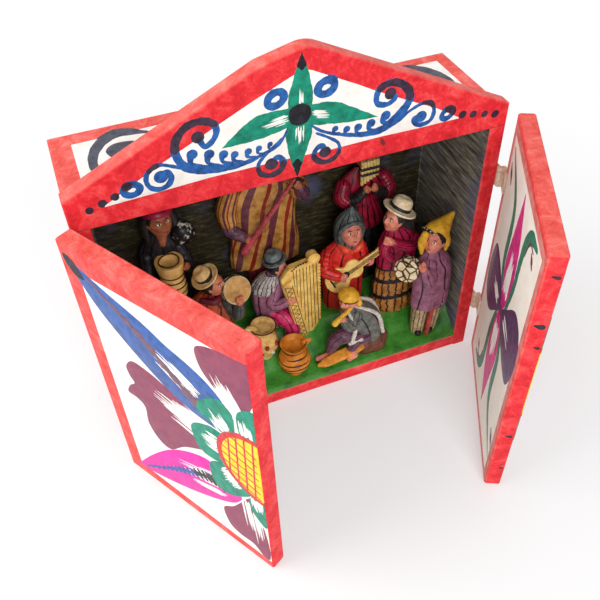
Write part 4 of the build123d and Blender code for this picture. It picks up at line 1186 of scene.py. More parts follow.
# Paints of the figures: plaster and potato paste, painted in water colours and varnished. The eye sees
# strong, slightly dirty colours with darker strokes in the folds and a soft shine. Each is light tone,
# dark tone, patch, finish.
RED_STRIPE, PURPLE_STRIPE, OCHRE = "96281C", "6E3844", "C8934C"
PONCHO_BAND = ((0, OCHRE), (0.055, RED_STRIPE), (0.075, OCHRE), (0.105, PURPLE_STRIPE))
PONCHO_STRIPES = [(start + place, tone) for start in np.arange(0, 1, 1 / 7) for place, tone in PONCHO_BAND]
PASTES = {
    "skin": ("DA8A64", "B86246", 2.5),
    "skin_in_painted_shade": ("B86E4C", "8E4A32", 2.5),
    # Painted shade: a darker copy of the skin for the back row, which stands in the roof's shadow
    "skin_pink": ("E09078", "C46C58", 2.5),
    "eye_white": ("F2EBDD", "E2D8C6", 2.0),
    "hair": ("2A2424", "141111", 2.0),
    "grey_hair": ("4C443E", "2A2522", 2.0, {"lines": 26}),
    "lip": ("B83A34", "922A28", 2.0),
    "black": ("2A2526", "110E0F", 3.0),
    "dark_dress": ("363036", "17141A", 4.0, {"lines": 12}),
    "headband": ("A82242", "74142C", 3.0),
    "bundle": ("D8D2C6", "161414", 3.0, {"edge": 0.05, "share": 0.57}),
    "straw": ("F8D49A", "DCAC62", 3.0),
    "pale_straw": ("F8EBCE", "DCC08C", 3.0),
    "hat_band": ("35302F", "1C1919", 2.0),
    "orange_tunic": ("C4582C", "84281E", 5.0, {"lines": 10}),
    "grey_sleeve": ("5E5C5C", "3A383A", 3.0, {"lines": 8}),
    "felt": ("707A7A", "454D4E", 3.0),
    "lace": ("D6CFC6", "A29A96", 2.0),
    "lace_collar": ("CCC4BE", "948C8A", 2.0, {"lines": 22}),
    "plum_coat": ("A86C86", "7A4A62", 4.0, {"lines": 5}),
    "violet_sleeve": ("6E4658", "482C38", 3.0, {"lines": 6}),
    "crimson": ("A21A38", "6A0E22", 4.0, {"lines": 14}),
    "magenta": ("BE2450", "8A1438", 4.0, {"lines": 12}),
    "pink_trousers": ("DE3870", "A41E4C", 4.0, {"lines": 9}),
    "ochre_poncho": ("FFFFFF", "BCA68C", 5.0, {"stripes": PONCHO_STRIPES}),
    "maroon": ("802030", "541220", 4.0, {"lines": 8}),
    "red_robe": ("E8362E", "B8201E", 5.0, {"lines": 7}),
    "collar": ("EE5A3A", "C63A26", 3.0),
    "hood": ("66706C", "40484A", 3.0, {"lines": 12}),
    "brown_skirt": ("C48444", "8A5424", 4.0, {"lines": 18}),
    "yellow_cap": ("ECB83A", "C48A1E", 3.0),
    "beige": ("CDB48C", "98805C", 3.0, {"lines": 12}),
    "sash": ("C04A3E", "8E2C28", 3.0),
    "grey_poncho": ("74766E", "4C4E4A", 3.0, {"lines": 8}),
    "white_band": ("DED6CA", "B0A69A", 2.0),
    "violet_legs": ("744A60", "4C2E40", 3.0, {"lines": 8}),
    "blanket": ("EEA038", "C4741E", 4.0),
    "stone_brown": ("7E4A38", "502C22", 3.0, {"grit": 1.6, "relief": 0.5}),
    "tan_wood": ("F8D074", "D09E48", 5.0),
    "guitar_yellow": ("FAD67E", "DCAA50", 4.0),
    "drum_skin": ("DCAA66", "B07E40", 4.0),
    "violin_brown": ("8A4A24", "5A2A14", 3.0),
    "bow_red": ("BA5054", "863036", 3.0),
    "grip_pink": ("CC4C58", "983040", 3.0),
    "reed": ("D6BC78", "A08444", 2.0),
    "clay": ("E08E30", "B8661A", 5.0),
    "clay_dark": ("5A3216", "3A1E0C", 3.0),
    "ringed_jar": ("FFCF80", "E6A850", 4.0),
    "cream": ("E8D4A6", "C6A468", 3.5),
    "patchwork": ("EEE0BC", "D2B684", 3.5, {"cells": 4.2}),
    "jug_yellow": ("F2CC80", "CC964C", 3.5),
    "jug_red": ("A8342C", "78201E", 3.0),
}
PASTE_FINISH = {"roughness": 0.36, "coat": 0.12, "relief": 0.1}


def paste(kind):
    """A figure's paint, made when it is first asked for."""
    name = f"varnished_{kind}"
    if name not in bpy.data.materials:
        light, dark, patch, *finish = PASTES[kind]
        painted(name, light, dark, patch, **{**PASTE_FINISH, **dict(*finish)})
    return bpy.data.materials[name]


# The players


def jar_woman(form):
    """A woman in dark clothes who holds a ringed jar and carries a flowered bundle."""
    dress, skin, hair = "dark_dress", "skin_in_painted_shade", "hair"
    rows = [
        (-6, 13), (20, 13), (40, 12.4), (55, 12.2), (63, 10.6, 0.5, -0.2), (68, 6.4, 1, -1),
        (73, 3.2, 1.5, -1.5),
    ]
    loft(form, rows, 0.47, dress, 7, 0.03)
    head(form, (2.0, -2.8, 78.5), 7.0, 14, -16, skin, hair)
    for turn in (-1, 1):
        lock = [(2 + 5.2 * turn, -1.4, 84), (2 + 7.4 * turn, -1.2, 77), (2 + 7 * turn, -2.4, 66)]
        tube(form, lock, [2.4, 2.6, 1.6], hair)
    profile = [(-1.4, 6.6), (-1, 7.9), (1, 7.8), (1.8, 7.0), (3.4, 5.2), (4.2, 2.4), (4.4, 0.1)]
    spool(form, (1.8, -1.6, 84.4), (0.05, 0.25, 1), profile, "headband", 36)
    ball(form, (12.5, -2.8, 68), (6.4, 5.6, 6.8), "bundle")
    arm(form, ((9, -2, 60), (11.8, -7, 50), (9.4, -13.4, 55)), (3.8, 3.6, 2.2), dress, skin)
    arm(form, ((-8, -2, 58), (-9.5, -7, 44), (-4.4, -14, 38.5)), (3.8, 3.6, 2.4), dress, skin)
    tube(form, [(1.2, -5.4, 66), (1.6, -4.4, 70.5), (1.8, -3.2, 74)], [1.6, 2.8, 3.2], skin)


def violinist(form):
    """A tall fiddler in an ochre poncho with red and purple stripes; heights are shares of the figure's."""
    tall = VIOLINIST_TOP - form.foot[2]
    skin, sleeve = "skin_in_painted_shade", "violet_sleeve"
    loft(form, [(-6, 10.5, 1, 0), (20, 10.6, 0.5, 0), (0.33 * tall, 11)], 0.5, "maroon", 6, 0.05)
    rows = [
        (0.27, 18.6, 0.5, 0), (0.29, 19.8, 0.5, 0), (0.4, 19.2, 0.5, 0), (0.5, 18, 0.5, 0), (0.64, 19.5),
        (0.72, 20), (0.79, 14.5), (0.84, 6.5),
    ]
    poncho = "ochre_poncho"
    loft(form, [(share * tall, *row) for share, *row in rows], 0.3, poncho, 11, 0.05, 96, twist=1.2)
    spool(form, (0, -0.6, 0.78 * tall), (0, 0, 1), [(0, 4.4), (0.1 * tall, 4.2)], skin)
    head(form, (0, -1.0, 0.925 * tall), 6.2, 28, 4, skin, "hair")
    for shoulder, elbow, hem in (
        ((-14, -0.6, 0.77), (-19, -2.4, 0.67), (-19, -3.6, 0.6)),
        ((14, -0.6, 0.77), (19, -2.6, 0.72), (19.6, -4.4, 0.68)),
    ):
        wing = [(x, y, share * tall) for x, y, share in (shoulder, elbow, hem)]
        tube(form, wing, [4.6, 5.6, 5.2], poncho, 24, 24)
    for path, radii in (
        (((-18.6, -3, 0.63), (-19, -5, 0.56), (-9.4, -10.4, 0.5)), (4.2, 4.0, 2.4)),
        (((19, -4, 0.69), (21.6, -6, 0.67), (16.2, -12, 0.775)), (4.2, 4.0, 2.3)),
    ):
        arm(form, [(x, y, share * tall) for x, y, share in path], radii, sleeve, skin)


def panpiper(form):
    """A piper in a crimson coat with dark painted folds and a knitted cap."""
    coat, skin = "crimson", "skin_in_painted_shade"
    loft(form, [(-6, 12), (24, 12), (44, 12.4), (60, 13.4)], 0.4, "dark_dress", 9, 0.04)
    rows = [(57, 13), (58, 14.2), (62, 14.6), (67, 15), (74, 11.2, 0, -0.2), (80, 4.6, 0, -0.8)]
    loft(form, rows, 0.4, coat, 9, 0.04)
    rows = [(40, 8.4, 4, -2.4), (44, 9, 4, -2.6), (54, 7, 2.4, -3.4), (64, 4, 0.6, -4.4)]
    loft(form, rows, 0.5, coat, 12, 0.05)
    head(form, (0, -1.6, 86), 6.0, 0, 2, skin, "hair")
    profile = [(0, 5.6), (0.6, 6.6), (2.4, 6.4), (7, 5.2), (11.5, 2.6), (14, 0.6), (14.3, 0.05)]
    spool(form, (0, -0.2, 88.2), (0, 0.12, 1), profile, "headband", 32, 40)
    for turn in (-1, 1):
        sleeve = [(turn * 11.5, -1.4, 70.5), (turn * 13.8, -4, 65), (turn * 11.6, -6.6, 62)]
        tube(form, sleeve, [4.3, 4.6, 4.0], coat, 18, 26, 0.03)
        arm(
            form, ((turn * 12, -5.6, 62.6), (turn * 7.4, -8.4, 65), (turn * 1.2, -11.2, 72.4)),
            (3.6, 3.1, 2.2), "black", skin,
        )


def guitarist(form):
    """A singer in a grey hood and a red poncho with an open collar, who plays the guitar."""
    robe, skin, hood = "red_robe", "skin_pink", "hood"
    rows = [
        (-6, 11.6), (12, 12), (24, 12.6, 0, -0.2), (34, 13, -0.4, -0.4), (42, 10.8, 0, -0.8),
        (47, 6.6, 1, -1.8), (50, 4, 1.4, -2.4),
    ]
    loft(form, rows, 0.58, robe, 9, 0.04)
    head(form, (2.2, -5.6, 55.0), 6.6, -6, -24, skin)
    profile = [(-3, 7.2), (2, 8.1), (7, 8.4), (11, 7.7), (15, 5.4), (18, 2.6), (20.4, 0.7), (20.6, 0.05)]
    spool(form, (2.0, -1.4, 48.0), (0.12, 0.06, 1), profile, hood, 36, 44)
    for turn in (-1, 1):
        edge = [
            (2.2 + 5.0 * turn, -6.4, 48.6), (2.2 + 6.9 * turn, -5.4, 55), (2.2 + 4.8 * turn, -6.8, 60.6),
            (2.4, -7.0, 62.4),
        ]
        tube(form, edge, [1.1, 1.3, 1.3, 1.2], hood)
        flap = [(2.0 + 0.8 * turn, -9.4, 44.6), (2.0 + 4.2 * turn, -8.2, 46), (2.0 + 6.4 * turn, -5, 47.6)]
        tube(form, flap, [1.2, 2.2, 1.4], "collar")
    arm(form, ((-10, -1, 40), (-13.6, -8, 34.5), (-4.4, -14.6, 31)), (3.9, 4.0, 2.4), robe, skin)
    arm(form, ((9.5, -1, 40), (10.8, -5, 33), (11.5, -13.2, 36.8)), (3.9, 3.8, 2.4), robe, skin)


def harpist(form):
    """A seated harper in a felt hat, a purple jacket with a lace collar and magenta trousers."""
    coat, skin, legs = "plum_coat", "skin_pink", "pink_trousers"
    rows = [
        (-4, 8), (8, 9, -0.5, 0), (18, 9.6, -1, 0), (28, 9.4, -0.5, -0.3), (34, 7.4, 0.5, -0.8),
        (38.5, 3.4, 3, -1.5),
    ]
    loft(form, rows, 0.77, coat, 7, 0.03)
    rows = [(27.5, 9.9, -0.5, -0.3), (31, 9.4, 0, -0.5), (35, 7.4, 0.8, -0.9), (38, 4.4, 2.4, -1.4)]
    loft(form, rows, 0.8, "lace_collar", 15, 0.05, steps=20)
    head(form, (4.8, -2.8, 42.5), 5.0, 58, -8, skin, "hair")
    hat(form, (3.6, -1.5, 47.2), (-0.22, 0.1, 1), 6.8, 4.9, 5.6, "felt", "hat_band")
    thigh = [(0, -3, 9), (5, -7.5, 7.5), (8.6, -11, 3), (6.6, -14.6, -6.8)]
    tube(form, thigh, [5.8, 5.6, 5.0, 3.6], legs, 20, 34, 0.02)
    tube(form, [(6.4, -14.8, -7), (8.4, -17.6, -8.2)], [2.2, 1.8], "hair")
    arm(form, ((3, -4, 32), (-1, -9, 21.5), (9.4, -14.8, 27)), (3.9, 3.7, 2.3), coat, skin)


def drummer(form):
    """A drummer in a straw hat and an orange tunic who beats a hand drum held up at the cheek."""
    tunic, skin, grey = "orange_tunic", "skin", "grey_sleeve"
    rows = [(-6, 11), (13, 11.4), (26, 11.6), (35, 10.6, 0, -0.3), (40, 7.2, 0.5, -1), (44, 4, 1.5, -2)]
    loft(form, rows, 0.69, tunic, 8, 0.04)
    head(form, (2.8, -3.6, 48.4), 6.0, 52, -14, skin, "hair")
    hat(form, (-0.6, -1.2, 52.9), (-0.46, -0.04, 0.88), 7.8, 4.6, 6.2, "straw", "hat_band")
    scarf = [(-5, -5.6, 41), (1, -8, 40), (6, -6, 41.5)]
    tube(form, scarf, [1.6, 2.0, 1.5], "maroon")
    arm(form, ((8, -4, 37), (12, -9.5, 28), (13.4, -15, 45)), (3.9, 3.7, 2.5), grey, skin)
    arm(form, ((7, -1, 38), (12, -2.5, 39), (13.6, -4.6, 46)), (3.6, 3.2, 2.2), grey, skin)


def singer(form):
    """A singing woman in a straw hat, a magenta blouse and a brown skirt in three tiers."""
    blouse, skirt, skin = "magenta", "brown_skirt", "skin_pink"
    black, hair = "black", "grey_hair"
    for rows in (
        [(-4, 13.4), (0, 13.9), (5, 13.6), (9, 12.2)],
        [(8, 12.9), (11, 13), (17, 12.8), (21, 11.4)],
        [(20.5, 11.9), (23, 12), (27, 11.5), (31, 10.2)],
    ):
        loft(form, rows, 0.56, skirt, 16, 0.035, 96, 20)
    for height, half in ((8.4, 13.5), (20.4, 12.7), (29.6, 11.4)):
        rows = [
            (height - 1.5, half - 0.6), (height - 1.1, half), (height + 1.1, half - 0.2),
            (height + 1.5, half - 1),
        ]
        loft(form, rows, 0.57, black, 16, 0.02, 96, 12)
    rows = [
        (29, 10.6), (31, 11.6), (38, 11.8, 0.2, 0), (45, 11.4, 0.3, 0), (51, 9.6, 0, -0.4),
        (55, 6.4, -1.4, -0.8), (58, 3.2, -2.6, -1.2),
    ]
    loft(form, rows, 0.62, blouse, 9, 0.03)
    head(form, (-4.4, -2.4, 63.2), 6.0, -72, -20, skin, hair)
    hat(form, (-0.8, -1.0, 68.0), (0.46, 0.05, 0.88), 9.6, 5.6, 7.4, "pale_straw", "hat_band")
    tube(form, [(0.5, 0.2, 66), (5.0, 0.6, 56), (7.4, 0.8, 44)], [5.2, 4.8, 3.2], hair, 20)
    arm(form, ((9, -3.4, 47.5), (3, -8.4, 46.5), (-12.8, -9.6, 57)), (3.4, 3.2, 2.3), blouse, skin)
    tube(form, [(-7, -2.4, 50), (-9.6, -4.4, 44), (-7, -7, 40)], [3.6, 3.4, 2.6], blouse, 16, 26, 0.03)


def capped_man(form):
    """A man in a pointed cap with ear flaps, a purple jacket and striped trousers, with a small drum."""
    coat, skin, cap = "plum_coat", "skin_pink", "yellow_cap"
    legs, dark = "beige", "hair"
    for side in (-1, 1):
        leg = [(4.2 * side - 0.6, 0, 21), (4.2 * side - 1.6, -0.6, 11), (3.9 * side - 3, -1.4, -1)]
        tube(form, leg, [5.2, 4.9, 4.2], legs, 20, 26)
        tube(form, [(3.9 * side - 3, -2, 0.6), (3.6 * side - 4.4, -5.8, 0.4)], [2.6, 2.0], dark)
    tube(form, [(-1.4, -6.4, 20), (-2.2, -6.8, 11), (-2.8, -6.4, -1)], [1.4, 1.5, 1.3], "sash")
    rows = [
        (18.6, 10.6), (20, 11.4), (34, 11.6, 0.3, 0), (47, 11), (55, 8.4, -1, -0.5), (60, 5.2, -2, -1.2),
        (63.5, 3.8, -2.4, -1.6),
    ]
    loft(form, rows, 0.65, coat, 6, 0.025)
    pocket = [(-2.4, -7.5, 32), (-2.2, -7.6, 22), (5.6, -6.8, 22.2), (5.4, -6.8, 32.2)]
    for start, end in zip(pocket, pocket[1:] + pocket[:1]):
        tube(form, [start, end], 0.6, coat, 10, 8)
    head(form, (-3.6, -3.0, 68.6), 6.1, -52, -20, skin, dark)
    profile = [(-1.6, 6.0), (-0.8, 6.9), (1, 7.0), (4, 6.4), (9, 4.2), (14, 1.9), (16.4, 0.9), (16.8, 0.05)]
    crown, slant = np.array((-2.2, -0.2, 69.6)), unit(np.array((0.8, 0.25, 0.54)))
    spool(form, crown, slant, profile, cap, 36, 44)
    spool(form, crown, slant, [(-1.4, 6.4), (-1.2, 7.1), (0.2, 7.3), (0.4, 6.6)], dark, 36)
    side = unit(np.cross((0.1, 1, 0), slant))
    for turn in circle(18):
        bead = crown - 0.5 * slant + 7.2 * (np.cos(turn) * side + np.sin(turn) * np.cross(slant, side))
        ball(form, bead, 0.45, "lace", 8, 6)
    tube(form, [(-8.6, -1.8, 74), (-10.4, -2.6, 69), (-10.6, -3.2, 62.6)], [2.0, 2.4, 0.9], cap)
    tube(form, [(3.0, -3.0, 72), (4.0, -3.4, 66), (3.8, -3.6, 60.6)], [2.0, 2.2, 0.9], cap)
    arm(form, ((-5, -4, 54), (-6.6, -8.6, 45), (-13, -8.6, 59.6)), (4.1, 3.9, 2.6), coat, skin)


def flute_player(form):
    """A seated flute player in a yellow cap and a banded grey poncho, barefoot on an orange blanket."""
    poncho, skin, white = "grey_poncho", "skin_pink", "white_band"
    legs, cap = "violet_legs", "yellow_cap"
    rows = [
        (8, 11, 4, 0), (12, 12, 3.6, 0.2), (18, 12, 2.5, 0.5), (27, 11, 0, 0.5), (34, 8, -3.5, 0),
        (40, 3.6, -6.6, -2),
    ]
    loft(form, rows, 0.68, poncho, 6, 0.03)
    for start, mid, end in (
        ((-9, -4.6, 37), (-6, -8.8, 26), (-8, -9, 14.5)),
        ((-4, -4.4, 38.6), (8.4, -6.2, 29), (13.2, -5.2, 12)),
        ((-2.6, 2.6, 38), (9.4, 3.2, 30), (15.6, 1.8, 12)),
    ):
        tube(form, [start, mid, end], [0.9, 1.2, 1.3], white)
    tube(form, [(-9, -8.6, 14.2), (-2, -9.2, 15.4)], 1.2, white)
    head(form, (-8.2, -3.8, 44), 5.4, -60, -4, skin)
    crown, slant = (-7.8, -3.0, 45.6), (0.1, 0.1, 1)
    profile = [(-0.6, 5.2), (0, 5.7), (1.4, 5.7), (3.2, 4.9), (4.8, 2.9), (5.3, 0.4), (5.3, 0.05)]
    spool(form, crown, slant, profile, cap, 32, 36)
    spool(form, crown, slant, [(-0.6, 5.4), (-0.5, 5.9), (0.1, 5.9), (0.2, 5.4)], "clay_dark")
    shin = [(-1, -3, 13), (-8, -4.6, 17.4), (-15, -4.2, 16.2), (-18.4, -3.2, 8)]
    tube(form, shin, [5.2, 5.0, 4.2, 3.0], legs, 20, 34, 0.02)
    tube(form, [(2, -5.6, 13), (-4, -7.0, 13.4), (-7.4, -7.8, 9.4)], [4.0, 3.8, 3.0], legs, 18, 26)
    for knee, heel, toe in (
        ((-18.2, -3.2, 8.6), (-18.8, -3, 3), (-26, -1.9, 1.4)),
        ((-7.2, -8.0, 9.6), (-5.6, -8.8, 3.4), (-9.6, -9.4, 2.0)),
    ):
        tube(form, [knee, heel], [2.0, 1.9], skin)
        tube(form, [heel, toe], [2.0, 1.6], skin)
    cloth = tilted(form.foot + (0.5, -6.8, 6.4), (-0.97, 0.06, -0.2), (-0.1, -0.4, 0.9))
    left = [(0, 1.6), (7, 3.2), (16, 3.8), (24, 4.0), (29, 2.2)]
    right = [(0, -2.2), (7, -2.6), (16, -2.2), (24, -0.6), (29, 1.2)]
    slab(form, cloth, left, right, 1.6, "blanket", low=-1.6)
    arm(form, ((-4, -4.4, 32), (-8, -7.2, 27), (-15, -8.8, 39)), (3.8, 3.6, 2.3), poncho, skin)
    tube(form, [(-3.6, -6.2, 46), (-3.2, -6.8, 43), (-3.4, -6.6, 40.4)], [1.2, 1.7, 1.0], cap)


class RETABLO_OT_players(bpy.types.Operator):
    """Model the nine players, from the back row to the front."""

    bl_idname = "retablo.players"
    bl_label = "Players"

    def execute(self, context):
        for player, slot in (
            (jar_woman, "paste_dark_dress"),
            (violinist, "paste_ochre_poncho"),
            (panpiper, "paste_magenta_coat"),
            (guitarist, "paste_red_robe"),
            (harpist, "paste_purple_coat"),
            (drummer, "paste_orange_tunic"),
            (singer, "paste_magenta_coat"),
            (capped_man, "paste_purple_coat"),
            (flute_player, "paste_grey_poncho"),
        ):
            name = player.__name__
            form = Form(f"{name}_figure", on_ground(name))
            player(form)
            form.piece("box", slot, name)
        return {"FINISHED"}


def two_bouts(form, board, big, small, gap, thick, wood):
    """A guitar or violin body: half width w(x) through lower bout, waist and upper bout, as a slab."""
    x = np.array([
        -big, -0.85 * big, -0.4 * big, 0, 0.45 * big, gap * 0.62, gap, gap + 0.7 * small, gap + small,
    ])
    half = np.array([0.3, 0.55 * big, 0.94 * big, big, 0.86 * big, 0.74 * small, small, 0.76 * small, 0.25])
    slab(form, board, np.column_stack([x, half]), np.column_stack([x, -half]), thick, wood)


def neck(form, board, halves, thick, low, wood):
    """A neck or a pegged head: a slab through (place along the board, half width)."""
    x, half = np.transpose(halves)
    slab(form, board, np.column_stack([x, half]), np.column_stack([x, -half]), thick, wood, low=low)


def guitar():
    """A yellow guitar with a dark sound hole, strings and a pegged head."""
    board = tilted(on_ground("guitarist") + (-7.5, -9.2, 27.5), (0.87, 0, 0.45), (-0.15, -0.88, 0.36))
    form, wood, dark, thick = Form("guitar_body"), "guitar_yellow", "black", 3.2
    two_bouts(form, board, 7.4, 5.6, 10.5, thick, wood)
    neck(form, board, [(13, 1.9), (20, 1.8), (27, 1.7)], 3.5, 1.4, wood)
    neck(form, board, [(26.2, 1.7), (29, 2.3), (32, 2.2)], 3.3, 1.2, wood)
    top = board.lifted(thick)
    dot(form, top, (5.5, 0), 2.0, dark, 3)
    stroke(form, top, [(-3.6, -2.2), (-3.6, 2.2)], 0.5, dark, 3, 8)
    for across in (-0.8, -0.27, 0.27, 0.8):
        tube(form, top.at([(x, across) for x in (-3.6, 12, 27)], 0.45), 0.13, dark, 6, 8)
    for x in (27.6, 29.2, 30.8):
        for across in (-2.2, 2.2):
            spool(form, board.at((x, across), 2.2), board.rise, [(-0.6, 0.5), (0.6, 0.5)], dark, 10)
    form.piece("box", "paste_tan_wood", "guitar")


def violin():
    """A brown violin with a dark fingerboard and a curled head, and its dusty pink bow."""
    foot = on_ground("violinist")
    tall = VIOLINIST_TOP - foot[2]
    board = tilted(foot + (4.5, -9.6, 0.855 * tall), (0.8, -0.05, -0.55), (0.35, -0.75, 0.55))
    form, wood = Form("violin_body"), "violin_brown"
    two_bouts(form, board, 4.8, 4.0, 7.0, 2.6, wood)
    neck(form, board, [(6, 0.9), (12, 0.8), (18, 0.8)], 3.0, 0.8, "black")
    spool(form, board.at((18.6, 0), 1.6), board.rise, [(-1.2, 1.5), (1.2, 1.5)], wood, 16)
    form.piece("box", "paste_clay_brown", "violin")
    form = Form("violin_bow_stick")
    start, end = foot + (-14, -9.4, 0.438 * tall), foot + (14, -15.4, 0.82 * tall)
    run = end - start
    tube(form, [start, start + 0.2 * run], [2.1, 1.9], "grip_pink", 14, 10)
    tube(form, [start + 0.2 * run, start + 0.6 * run, end], [1.8, 1.4, 0.85], "bow_red", 14, 20)
    form.piece("box", "paste_pink", "violin_bow")


def harp():
    """A solid harp: a plate between sound box and column, with strings, beads and a scroll laid on."""
    board = Board(on_ground("harpist") + (0, -9.0, 0), (1, 0, 0), (0, 0, 1), (0, -1, 0))
    form, wood, dark, thick, lid_thick = Form("harp_frame"), "tan_wood", "black", 4.0, 1.6
    left = [(11.5, -9), (9.6, 2), (7.4, 14.5), (5.2, 27), (3.2, 39), (4.6, 43.4), (8, 47.8)]
    right = [(18.5, -9), (24.6, 2), (24.9, 14), (24.9, 27), (24.9, 40), (24.8, 46), (24.6, 50.2)]
    slab(form, board, left, right, thick, wood, 36, 60)
    front = board.lifted(thick)
    left, right = [(11.9, -8.4), (8.2, 12), (3.8, 38.6)], [(17.6, -8.4), (13.2, 14), (8.6, 40.6)]
    slab(form, front, left, right, lid_thick, wood, 24, 40, -0.4)
    for step in np.linspace(0, 1, 8):
        low = max(18.2 - 7.6 * step, 24.2 - 14.4 * step)
        string = [
            (low, np.interp(low, [9.6, 18.0, 24.4], [40, -4, 3])), (23.2 - 13.2 * step, 47.4 - 1.6 * step),
        ]
        stroke(form, front, string, 0.2, dark, 2, 12)
    lid = front.lifted(lid_thick)
    middle = np.linspace((14.4, -6.0), (6.6, 37), 25)
    zigzag = middle + np.where(np.arange(25) % 2, 1.3, -1.3)[:, None] * [(0.98, 0.2)]
    stroke(form, lid, zigzag, 0.25, dark, 2, 100)
    for offset in (-2.0, 2.0):
        stroke(form, lid, middle + (offset, 0), 0.2, dark, 2, 40)
    for place in through([(9.4, 46.6), (13, 49), (17.5, 50)], 7):
        dot(form, front, place, 0.6, dark, 3)
    a, eye = np.linspace(0, 2.2 * TURN, 60), np.array([21.8, 51.0])
    curl = ((3.4 - 0.21 * a)[:, None] * np.column_stack([np.cos(a - 0.8), np.sin(a - 0.8)]))[::4]
    spool(form, front.at(eye, -2.0), (0, -1, 0), [(-2, 3.2), (2.0, 3.3), (2.2, 3.0)], wood, 32)
    tube(form, front.at(eye + curl, 0), 0.62, wood, 10, 80)
    stroke(form, front, eye + 0.82 * curl, 0.22, dark, 4, 80)
    for height in np.arange(4, 47, 2.4):
        ball(form, board.at((25.0, height), 3.2), (0.95, 0.95, 1.1), wood, 12, 8)
    form.piece("box", "paste_tan_wood", "harp")


def drum(name, node, slot, middle, axis, radius, depth, shell, skin, laces):
    """A hand drum: two skins on a waisted shell, with dark laces zigzagging round it."""
    form, axis = Form(name, middle), unit(np.array(axis, float))
    rows = [(0.38, 1.0), (0.46, 0.97), (0.5, 0.9)]
    rows = [(-a, r) for a, r in rows[::-1]] + [(-0.24, 0.95), (0.24, 0.95)] + rows
    spool(form, (0, 0, 0), axis, [(depth * a, radius * r) for a, r in rows], shell, 48)
    for end in (-1, 1):
        rows = [
            (0.47 * depth * end, 0.92 * radius), (0.52 * depth * end, 0.9 * radius),
            (0.535 * depth * end, 0.3),
        ]
        spool(form, (0, 0, 0), axis, rows[::end], skin, 40)
    side = unit(np.cross((0.1, 1, 0), axis))
    a = circle(2 * laces)[:, None]
    lace = radius * (np.cos(a) * side + np.sin(a) * np.cross(axis, side))
    lace += np.where(np.arange(2 * laces) % 2, 0.36, -0.36)[:, None] * depth * axis
    for start, end in zip(lace, np.roll(lace, -1, axis=0)):
        tube(form, [start, end], 0.28, "black", 6, 6)
    form.piece("box", slot, node)


def panpipes():
    """Six reed pipes side by side, each shorter than the last, bound by a cord."""
    form, top = Form("panpipes_reeds", on_ground("panpiper")), 88
    for i in range(6):
        long = 14.5 - 0.9 * i
        rows = [
            (-long, 0.9), (-0.6 * long, 1.0), (-0.59 * long, 1.06), (-0.57 * long, 1.0), (-0.3, 0.98),
            (0, 0.96), (0, 0.6), (-1.6, 0.5),
        ]
        spool(form, ((i - 2.5) * 1.75, -9.0, top), (0, 0, 1), rows, "reed", 16)
    for drop in (4.4, 7.8):
        board = tilted(form.foot + (0, -10.0, top - drop), (0, 0, 1), (0, -1, 0))
        slab(
            form, board, [(-0.7, 5.4), (0.7, 5.4)], [(-0.7, -5.4), (0.7, -5.4)], 0.5, "hat_band", 16, 4, -2.2,
        )
    form.piece("box", "paste_tan_wood", "panpipes")


def flute():
    """A short brown flute, wider at its foot, with finger holes."""
    form = Form("flute_stick", on_ground("flute_player"))
    start, end = np.array((-9.6, -9.4, 43.4)), np.array((-18.8, -9.8, 35.6))
    tube(form, [start, 0.5 * (start + end), end], [1.1, 1.3, 1.8], "yellow_cap", 16, 20)
    for share in (0.45, 0.6, 0.75):
        ball(form, start + share * (end - start) + (0.5, -1.2, 0.6), 0.35, "hair", 8, 6)
    form.piece("box", "paste_clay_brown", "flute")


class RETABLO_OT_instruments(bpy.types.Operator):
    """Model the players' instruments."""

    bl_idname = "retablo.instruments"
    bl_label = "Instruments"

    def execute(self, context):
        for make in (guitar, violin, harp, panpipes, flute):
            make()
        drum(
            "hand_drum_shell", "hand_drum", "paste_tan_wood", on_ground("drummer") + (13.2, -8.6, 45.0),
            (0.15, -0.85, 0.5), 7.7, 5.0, "cream", "drum_skin", 9,
        )
        drum(
            "small_drum_shell", "small_drum", "paste_cream", on_ground("capped_man") + (-18.0, -3.4, 54.0),
            (-0.72, -0.62, 0.3), 6.9, 6.4, "patchwork", "patchwork", 7,
        )
        return {"FINISHED"}


def hoop(form, a, radius, height, thick, steps=50):
    """A line of dark paint round a pot: a thin limb at angles a, radius (cos a, sin a) and a height."""
    ring = np.column_stack([radius * np.cos(a), radius * np.sin(a), height + 0 * a])
    tube(form, ring, thick, "clay_dark", 8, steps)


